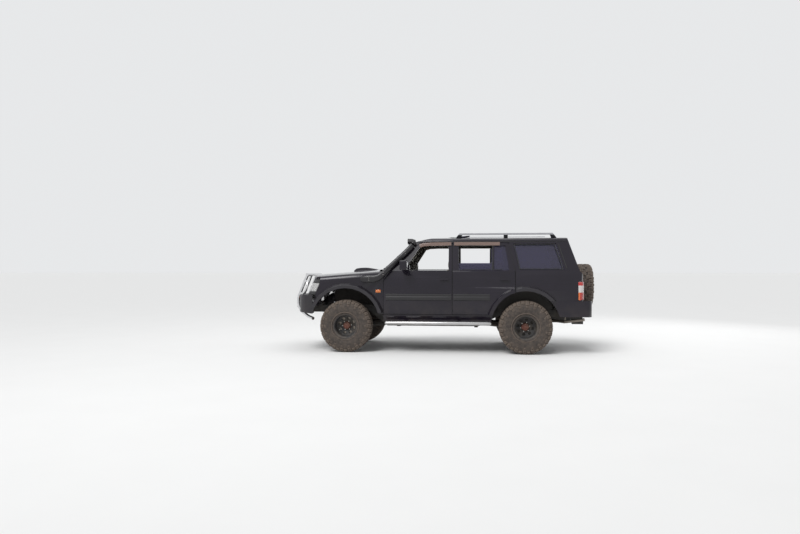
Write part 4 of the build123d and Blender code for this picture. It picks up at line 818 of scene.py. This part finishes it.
def build_steps():
    """Smooth step tubes with flattened ends, brackets and black tread strips."""
    step_y, step_z, frame_y = 968, 498, 424
    tubes, grips = Form(), Form()
    for side in (1, -1):
        path = [place(x, side * step_y, step_z) for x in (672, 690, 1500, 2394, 2412)]
        tubes.tube(path, [0.020, 0.030, 0.030, 0.030, 0.020], 20)
        for x in (980, 1860):
            tubes.slab(place(x, side * frame_y, 470), place(x + 60, side * (step_y - 8), 486), 0.002)
        for x in (800, 1240, 1680, 2120):
            low, high = place(x, side * step_y - 15, 525.5), place(x + 210, side * step_y + 15, 530.5)
            grips.slab(low, high, 0.0015)
    tubes.piece("bright_side_steps", ROOT, "step", "chrome", 50, "side_steps")
    grips.piece("step_grips", ROOT, "plastic")


def build_springs():
    """Wound coil springs with closed ends in place of the plain forms."""
    spring_y, coil, wire, seat_z = 432, 47, 7.2, 507.5
    turns, steps, closed = 6.5, 26, 0.07
    count = int(turns * steps)
    form = Form()
    for x, top in ((0, 660), (WHEELBASE, 590)):
        for side in (1, -1):
            path = []
            for k in range(count + 1):
                a = 2 * pi * k / steps
                climb = min(max((k / count - closed) / (1 - 2 * closed), 0.0), 1.0)
                z = seat_z + (top - 8 - seat_z) * climb
                path.append(place(x + coil * cos(a), side * spring_y + coil * sin(a), z))
            form.tube(path, wire / 1000, 10)
    form.piece("wound_springs", ROOT, "spring", "spring_steel", 60, "coil_springs")


def superloop(width, height, power):
    """Rounded loop of (sideways, upward) offsets for a width and height in mm."""
    loop = []
    for a in angles(24):
        c, s = cos(a), sin(a)
        u = abs(c) ** (2 / power) * (1 if c >= 0 else -1) * width / 2
        v = abs(s) ** (2 / power) * (1 if s >= 0 else -1) * height / 2
        loop.append((u / 1000, v / 1000))
    return loop


# X, Y and Z of the middle, width, height across the run, roundness
SNORKEL_DUCT = (
    (262, -926, 1212, 56, 60, 2.6),
    (300, -934, 1220, 74, 112, 3.0),
    (400, -938, 1222, 78, 126, 3.2),
    (490, -938, 1226, 78, 120, 3.0),
    (570, -938, 1254, 76, 104, 2.8),
    (640, -934, 1316, 74, 92, 2.6),
    (720, -926, 1398, 74, 86, 2.5),
    (800, -912, 1474, 74, 84, 2.5),
    (900, -890, 1568, 74, 84, 2.5),
    (1000, -862, 1664, 74, 84, 2.5),
    (1070, -842, 1736, 76, 84, 2.5),
    (1110, -826, 1790, 80, 86, 2.5),
)
SNORKEL_HEAD = (
    (1122, -812, 1800, 84, 92, 2.4), (1134, -800, 1822, 84, 92, 2.6), (1132, -794, 1838, 84, 92, 3.0),
    (1104, -794, 1847, 84, 82, 3.4), (1060, -794, 1848, 84, 78, 3.8), (1036, -794, 1848, 84, 78, 4.2),
)


def build_snorkel():
    """Round-edged intake duct with clamps and bolts, and a meshed head that faces forward."""
    form = Form()
    for rows in (SNORKEL_DUCT, SNORKEL_HEAD):
        path = [place(*row[:3]) for row in rows]
        form.capped(sweep_rings(path, [superloop(*row[3:]) for row in rows]))
    for i in (6, 8):
        width, height, roundness = SNORKEL_DUCT[i][3:]
        centre, after = place(*SNORKEL_DUCT[i][:3]), place(*SNORKEL_DUCT[i + 1][:3])
        run = (after - centre).normalized() * 0.016
        band = superloop(width + 6, height + 6, roundness)
        form.capped(sweep_rings([centre - run, centre + run], [band, band]))
    form.piece("round_snorkel", ROOT, "snorkel", "black_plastic", 50, "snorkel")
    mesh = Form()
    for k in range(5):
        z = 1822 + 13 * k
        mesh.slab(place(1033.6, -830, z), place(1035.6, -758, z + 3), 0.0004)
    for k in range(7):
        y = -828 + 11 * k
        mesh.slab(place(1033.2, y, 1816), place(1034.6, y + 2.4, 1880), 0.0004)
    mesh.piece("snorkel_mesh", ROOT, "trim")
    bolts = Form()
    for i in (2, 5, 9):
        x, y, z = SNORKEL_DUCT[i][:3]
        for dz in (-18, 18):
            bolt = nut(Vector(), 6, 4).moved(place(x, y - 36, z + dz), Matrix.Rotation(pi, 3, "Z"))
            bolts.add(bolt.verts, bolt.faces)
    bolts.piece("snorkel_bolts", ROOT, "nut", smooth=42)


# Body trim

MOULDING_SECTION = (0.0, 6.0, 8.0, 8.0, 8.0, 8.0, 8.0, 6.0, 3.0, 3.0, 6.0, 8.0, 6.0, 0.0)
MOULDING_LOW, MOULDING_HIGH = 866, 978
LAMP_SECTION = (2.0, 7.0, 10.0, 10.0, 10.0, 7.0, 2.0)
# Points (X, Z), then width and depth of each strip
DOOR_SEALS = (
    ("front", ((((1118, 1378), (1690, 1378)), 9, 3),)),
    ("rear", ((((1908, 1378), (2600, 1378)), 9, 3), (((2440, 1384), (2440, 1770)), 16, 4))),
)
# Points (X, Z)
QUARTER_EDGE = ((2880, 1388), (2790, 1796), (3440, 1796), (3566, 1388), (2880, 1388))
QUARTER_VENT = ((3510, 1800), (3632, 1400))
GUTTER = ((1180, 1843), (1700, 1846), (2600, 1847), (3640, 1845))
VISORS = (
    ("front", ((1230, 1770), (1300, 1793), (1500, 1802), (1762, 1804))),
    ("rear", ((1806, 1804), (2100, 1806), (2560, 1802))),
)


def leaning_strip(form, points, width, depth, side, stand=0.0):
    """Strip of the given width along points (X, Z) on the leaning upper side of the body."""
    lean = atan2(BELT_Y - GUTTER_Y, GUTTER_Z - BELT_Z)
    out = Vector((0, side * cos(lean), sin(lean)))
    path = []
    for x, z in points:
        y = BELT_Y - (z - BELT_Z) * (BELT_Y - GUTTER_Y) / (GUTTER_Z - BELT_Z)
        path.append(place(x, side * y, z) + out * (stand / 1000))
    w, d = width / 2000, depth / 1000
    section = ((-w, -d), (-w, d * 0.5), (-w * 0.6, d), (w * 0.6, d), (w, d * 0.5), (w, -d))
    rings = []
    for i, p in enumerate(path):
        ahead = (path[min(i + 1, len(path) - 1)] - path[max(i - 1, 0)]).normalized()
        across = ahead.cross(out).normalized()
        rings.append([p + across * u + out * v for u, v in section])
    return form.capped(rings)


def build_door_strips(side, word):
    """Moulding and window seals on the two doors of one side."""
    for end, x0, x1 in (("front", 676, 1764), ("rear", 1800, 2394)):
        node = f"{end}_door_{word}"
        corners = ((x0, MOULDING_LOW), (x1, MOULDING_HIGH))
        form = skin_strip(node, corners, (26, 26), MOULDING_SECTION, side)
        form.piece(f"moulding_{node}", f"{word}_{end}_door", "moulding")
    for end, runs in DOOR_SEALS:
        form = Form()
        for points, width, depth in runs:
            leaning_strip(form, points, width, depth, side, -1)
        form.piece(f"window_seal_{end}_{word}", f"{word}_{end}_door", "rubber_trim")


def build_body_strips(side, word):
    """Quarter window seals and gutter on one side of the body."""
    form = Form()
    for pair in zip(QUARTER_EDGE, QUARTER_EDGE[1:]):
        leaning_strip(form, pair, 12, 4, side)
    leaning_strip(form, QUARTER_VENT, 14, 4, side)
    form.piece(f"quarter_seal_{word}", ROOT, "rubber_trim")
    leaning_strip(Form(), GUTTER, 10, 5, side, 2).piece(f"gutter_{word}", ROOT, "trim")


def build_visors(side, word):
    """Smoked visors over the front and rear door windows."""
    for end, points in VISORS:
        form = leaning_strip(Form(), points, 58, 1.6, side, 17)
        form.piece(f"visor_{end}_{word}", f"{word}_{end}_door", "smoked", "glass")


def build_mirror_glass(side, word):
    """Mirror glass in the front door's mirror shell."""
    y = side * 1054
    form = Form().slab(place(1051, y - 74, 1392), place(1053, y + 74, 1510), 0.0008)
    form.piece(f"mirror_glass_{word}", f"{word}_front_door", "mirror", "chrome")


def build_side_lamp(side, word):
    """Indicator on the front wing."""
    form = skin_strip("wings", ((506, 996), (588, 1044)), (8, 10), LAMP_SECTION, side)
    form.piece(f"side_indicator_{word}", ROOT, "amber", "lamp_glass")


# Lamps, radiator and wipers

def build_radiator():
    """Fins and tubes behind the grille."""
    fins, fin_pitch, tubes, tube_pitch, low = 24, 7.4, 30, 22.4, 1000
    form = Form()
    for k in range(fins):
        z = low + fin_pitch * k
        form.slab(place(-560, -330, z), place(-552, 330, z + 2.2))
    for k in range(tubes):
        y = -328 + tube_pitch * k
        form.slab(place(-558, y, low), place(-550, y + 4, low + 176))
    form.piece("radiator_fins", ROOT, "fins", "frame_paint")


def build_head_lamps():
    """Bright bowls of the two lamps in each head lamp."""
    lamp_z = 1082
    form = Form()
    lamp = skin_tree("head_lamps")
    for side in (1, -1):
        for y, radius in ((480, 56), (640, 52)):
            profile = [(6, radius), (22, radius * 0.86), (36, radius * 0.5), (40, 0.5)]
            form.lathe(profile, 36, from_ahead(lamp, side * y, lamp_z)[0], "X")
    form.piece("head_lamp_bowls", ROOT, "chrome", "chrome", 50)


def build_tail_covers():
    """Cabin-side covers that close the body behind the tail lamps."""
    form = Form()
    for side in (1, -1):
        form.slab(place(3797, side * 704, 884), place(3803, side * 868, 1182), 0.002)
    form.piece("tail_lamp_covers", ROOT, "cabin")


def build_wipers():
    """Two wipers that lie on the windscreen."""
    foot_z, rise, joint_z, pivot_z = 1382, 4, 1395, 1374
    arms, blades = Form(), Form()
    screen = skin_tree("fixed_glass")

    def on_screen(y, z, stand):
        hit, normal = from_ahead(screen, y, z)
        return hit + normal * stand

    for pivot, inner, outer in ((-330, -90, -590), (230, 470, -30)):
        blade = [on_screen(outer + (inner - outer) * t / 6, foot_z + rise * t, 0.009) for t in range(7)]
        blades.tube(blade, 0.006, 8)
        middle = on_screen((inner + outer) / 2, joint_z, 0.018)
        arms.tube([on_screen(pivot, pivot_z, 0.022), middle], 0.006, 8)
    arms.piece("wiper_arms", ROOT, "trim")
    blades.piece("wiper_blades", ROOT, "rubber_trim")


def build_bumper_lamps():
    """Round fog lamps with their rings, and indicators, in the front bumper."""
    fog_y, fog_z, lamp_y, lamp_z = 500, 800, 640, 890
    rings, lenses, amber = Form(), Form(), Form()
    bumper = skin_tree("front_bumper")
    for side in (1, -1):
        hit = from_ahead(bumper, side * fog_y, fog_z)[0]
        for form, front, radius in ((rings, -4, 56), (lenses, -6, 45)):
            profile = [(12, 0.5), (12, radius), (front, radius)]
            profile += [(front - 4, radius * 0.86), (front - 6, radius * 0.4), (front - 6, 0.5)]
            form.lathe(profile, 32, hit, "X")
        hit = from_ahead(bumper, side * lamp_y, lamp_z)[0]
        amber.slab(hit + Vector((-0.004, -0.042, -0.017)), hit + Vector((0.03, 0.042, 0.017)), 0.004)
    rings.piece("fog_lamp_rings", ROOT, "trim")
    lenses.piece("fog_lamp_lenses", ROOT, "lens", "lamp_glass")
    amber.piece("front_indicators", ROOT, "amber", "lamp_glass")


# Seats

FRONT_FLUTES = (("x", 0.28, 0.5), ("x", -0.28, 0.5), ("y", 0.05, 0.28), ("y", -0.2, 0.28))
REAR_FLUTES = (("x", 0.33, 0.5), ("x", 0.0, 0.5), ("x", -0.33, 0.5), ("y", -0.1, 0.45))
HEAD_REST = (0.175, 0.25, 0.082)


def pad_block(size, voxel):
    """Closed rounded block of even small faces, centred on the origin."""
    source = Form().slab(-size / 2, size / 2, min(size) * 0.3)
    block = linked("pad_source", source.mesh("pad_source"))
    assign(block.modifiers.new("remesh", "REMESH"), mode="VOXEL", voxel_size=voxel)
    return block


def bake(piece):
    """Apply the piece's modifiers to its mesh."""
    graph = bpy.context.evaluated_depsgraph_get()
    mesh = bpy.data.meshes.new_from_object(piece.evaluated_get(graph))
    piece.modifiers.clear()
    piece.data = mesh


def inflate(piece, pressure=4.0, cap=0.014):
    """Blow the closed cover up as cloth, and keep each point within cap of its start."""
    start = [v.co.copy() for v in piece.data.vertices]
    cover = piece.modifiers.new("cloth", "CLOTH")
    assign(cover.settings, quality=4, mass=0.3, use_pressure=True, uniform_pressure_force=pressure)
    assign(cover.settings, tension_stiffness=12, compression_stiffness=12, bending_stiffness=0.6)
    cover.settings.effector_weights.gravity = 0
    cover.collision_settings.use_collision = False
    for step in range(1, 21):
        scene.frame_set(step)
    bake(piece)
    scene.frame_set(1)
    for v, before in zip(piece.data.vertices, start):
        shift = v.co - before
        if shift.length > cap:
            v.co = before + shift * (cap / shift.length)


def sew(piece, size, flutes, depth=0.007, width=0.009):
    """Press channels into the top; each is (axis it runs along, place, reach) in shares of the size."""
    for v in piece.data.vertices:
        if v.co.z < 0:
            continue
        x, y = v.co.x / size.x, v.co.y / size.y
        dip = 0.0
        for axis, spot, reach in flutes:
            along, off = (x, (y - spot) * size.y) if axis == "x" else (y, (x - spot) * size.x)
            if -reach <= along <= reach:
                dip = max(dip, depth * exp(-((off / width) ** 2)))
        v.co.z -= dip


def build_pad(name, node, size, centre, lean, flutes):
    """One padded part of a seat in place of its plain solid; lean tips it back, in degrees."""
    size = Vector(size)
    piece = pad_block(size - Vector((0.016, 0.016, 0.012)), 0.011)
    piece.name = name
    bake(piece)
    inflate(piece)
    assign(piece.modifiers.new("smooth", "SMOOTH"), iterations=3)
    assign(piece.modifiers.new("fine", "SUBSURF"), levels=1, render_levels=1)
    bake(piece)
    sew(piece, size, flutes)
    piece.data.transform(Matrix.Translation(place(*centre)) @ Matrix.Rotation(radians(lean), 4, "Y"))
    for face in piece.data.polygons:
        face.use_smooth = True
    piece.data.materials.clear()
    piece.data.materials.append(MATS["cloth"])
    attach(piece, ROOT)
    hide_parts(node)


def build_seats():
    """Front seats and rear bench as padded covers on plain frames, with head rests on posts."""
    z, frame_height = FLOOR_TOP, 178
    frames, posts = Form(), Form()

    def add_posts(x, y, post_z):
        for dy in (-60, 60):
            posts.tube([place(x, y + dy, post_z), place(x + 4, y + dy, post_z + 60)], 0.006, 10)

    node, cushion, back = "front_seats", (0.515, 0.505, 0.128), (0.60, 0.49, 0.10)
    for side, word in SIDES:
        y = side * 380
        build_pad(f"front_cushion_{word}", node, cushion, (1384, y, z + 240), -3, FRONT_FLUTES)
        build_pad(f"front_back_{word}", node, back, (1668, y, z + 520), -81, FRONT_FLUTES)
        build_pad(f"front_rest_{word}", node, HEAD_REST, (1738, y, z + 893), -88, ())
        add_posts(1728, y, z + 780)
        frames.slab(place(1172, y - 160, z + 0.5), place(1560, y + 160, z + frame_height), 0.012)
    node, cushion, back = "rear_bench", (0.50, 1.165, 0.128), (0.57, 1.165, 0.10)
    build_pad("rear_cushion", node, cushion, (2262, 0, z + 240), -3, REAR_FLUTES)
    build_pad("rear_back", node, back, (2542, 0, z + 500), -81, REAR_FLUTES)
    for k, y in enumerate((-400, 400)):
        build_pad(f"rear_rest_{k}", node, HEAD_REST, (2598, y, z + 862), -88, ())
        add_posts(2590, y, z + 752)
    frames.slab(place(2054, -490, z + 0.5), place(2440, 490, z + frame_height), 0.012)
    frames.piece("seat_frames", ROOT, "plastic")
    posts.piece("seat_posts", ROOT, "nut", "spring_steel")


# CAD nodes

# Material, then the CAD nodes that carry it
NODE_LOOKS = (
    ("trimmed", "body_sides roof_panel front_door_left front_door_right rear_door_left rear_door_right"),
    ("trimmed", "rear_door_wide rear_door_narrow"),
    ("paint", "bonnet wings rear_bumper"),
    ("flare", "arch_flares front_bumper"),
    ("plastic", "grille_panel fuel_tank"),
    ("cabin", "dashboard"),
    ("floor", "floor_pan"),
    ("trim", "steering_wheel"),
    ("rail", "roof_rails"),
    ("lens", "head_lamps"),
    ("tail", "tail_lamps"),
    ("glass", "fixed_glass"),
    ("tint", "rear_door_glass_left rear_door_glass_right rear_door_wide_glass rear_door_narrow_glass"),
    ("chassis", "chassis_frame front_axle rear_axle suspension_links tow_bar"),
    ("cast", "knuckle_left knuckle_right tie_rod"),
    ("engine", "drive_line"),
    ("pipe", "exhaust"),
)
EDGE = 0.003  # width of the rounded edges, where a node has none of its own
EDGES = {
    "arch_flares": 0.006, "front_bumper": 0.010, "rear_bumper": 0.012, "bonnet": 0.006,
    "steering_wheel": 0.004,
}


def dress_nodes():
    """Materials on the CAD nodes, and rounded edges where light should catch."""
    for look, names in NODE_LOOKS:
        for name in names.split():
            node = bpy.data.objects[name]
            if not node.material_slots:
                node.data.materials.append(MATS[look])
            for slot in node.material_slots:
                slot.link = "OBJECT"
                slot.material = MATS[look]
            if look in ("glass", "tint"):
                continue
            assign(node.modifiers.new("weld", "WELD"), merge_threshold=0.00005)
            bevel = node.modifiers.new("edges", "BEVEL")
            assign(bevel, width=EDGES.get(name, EDGE), segments=2, harden_normals=True)
            assign(bevel, limit_method="ANGLE", angle_limit=radians(32))


build_camera()
build_world()
build_floor()
build_lamps()
dress_nodes()
build_wheels()
build_bull_bar()
build_steps()
build_springs()
build_snorkel()
for side, word in SIDES:
    build_door_strips(side, word)
    build_body_strips(side, word)
    build_visors(side, word)
    build_mirror_glass(side, word)
    build_side_lamp(side, word)
build_radiator()
build_head_lamps()
build_tail_covers()
build_wipers()
build_bumper_lamps()
build_seats()
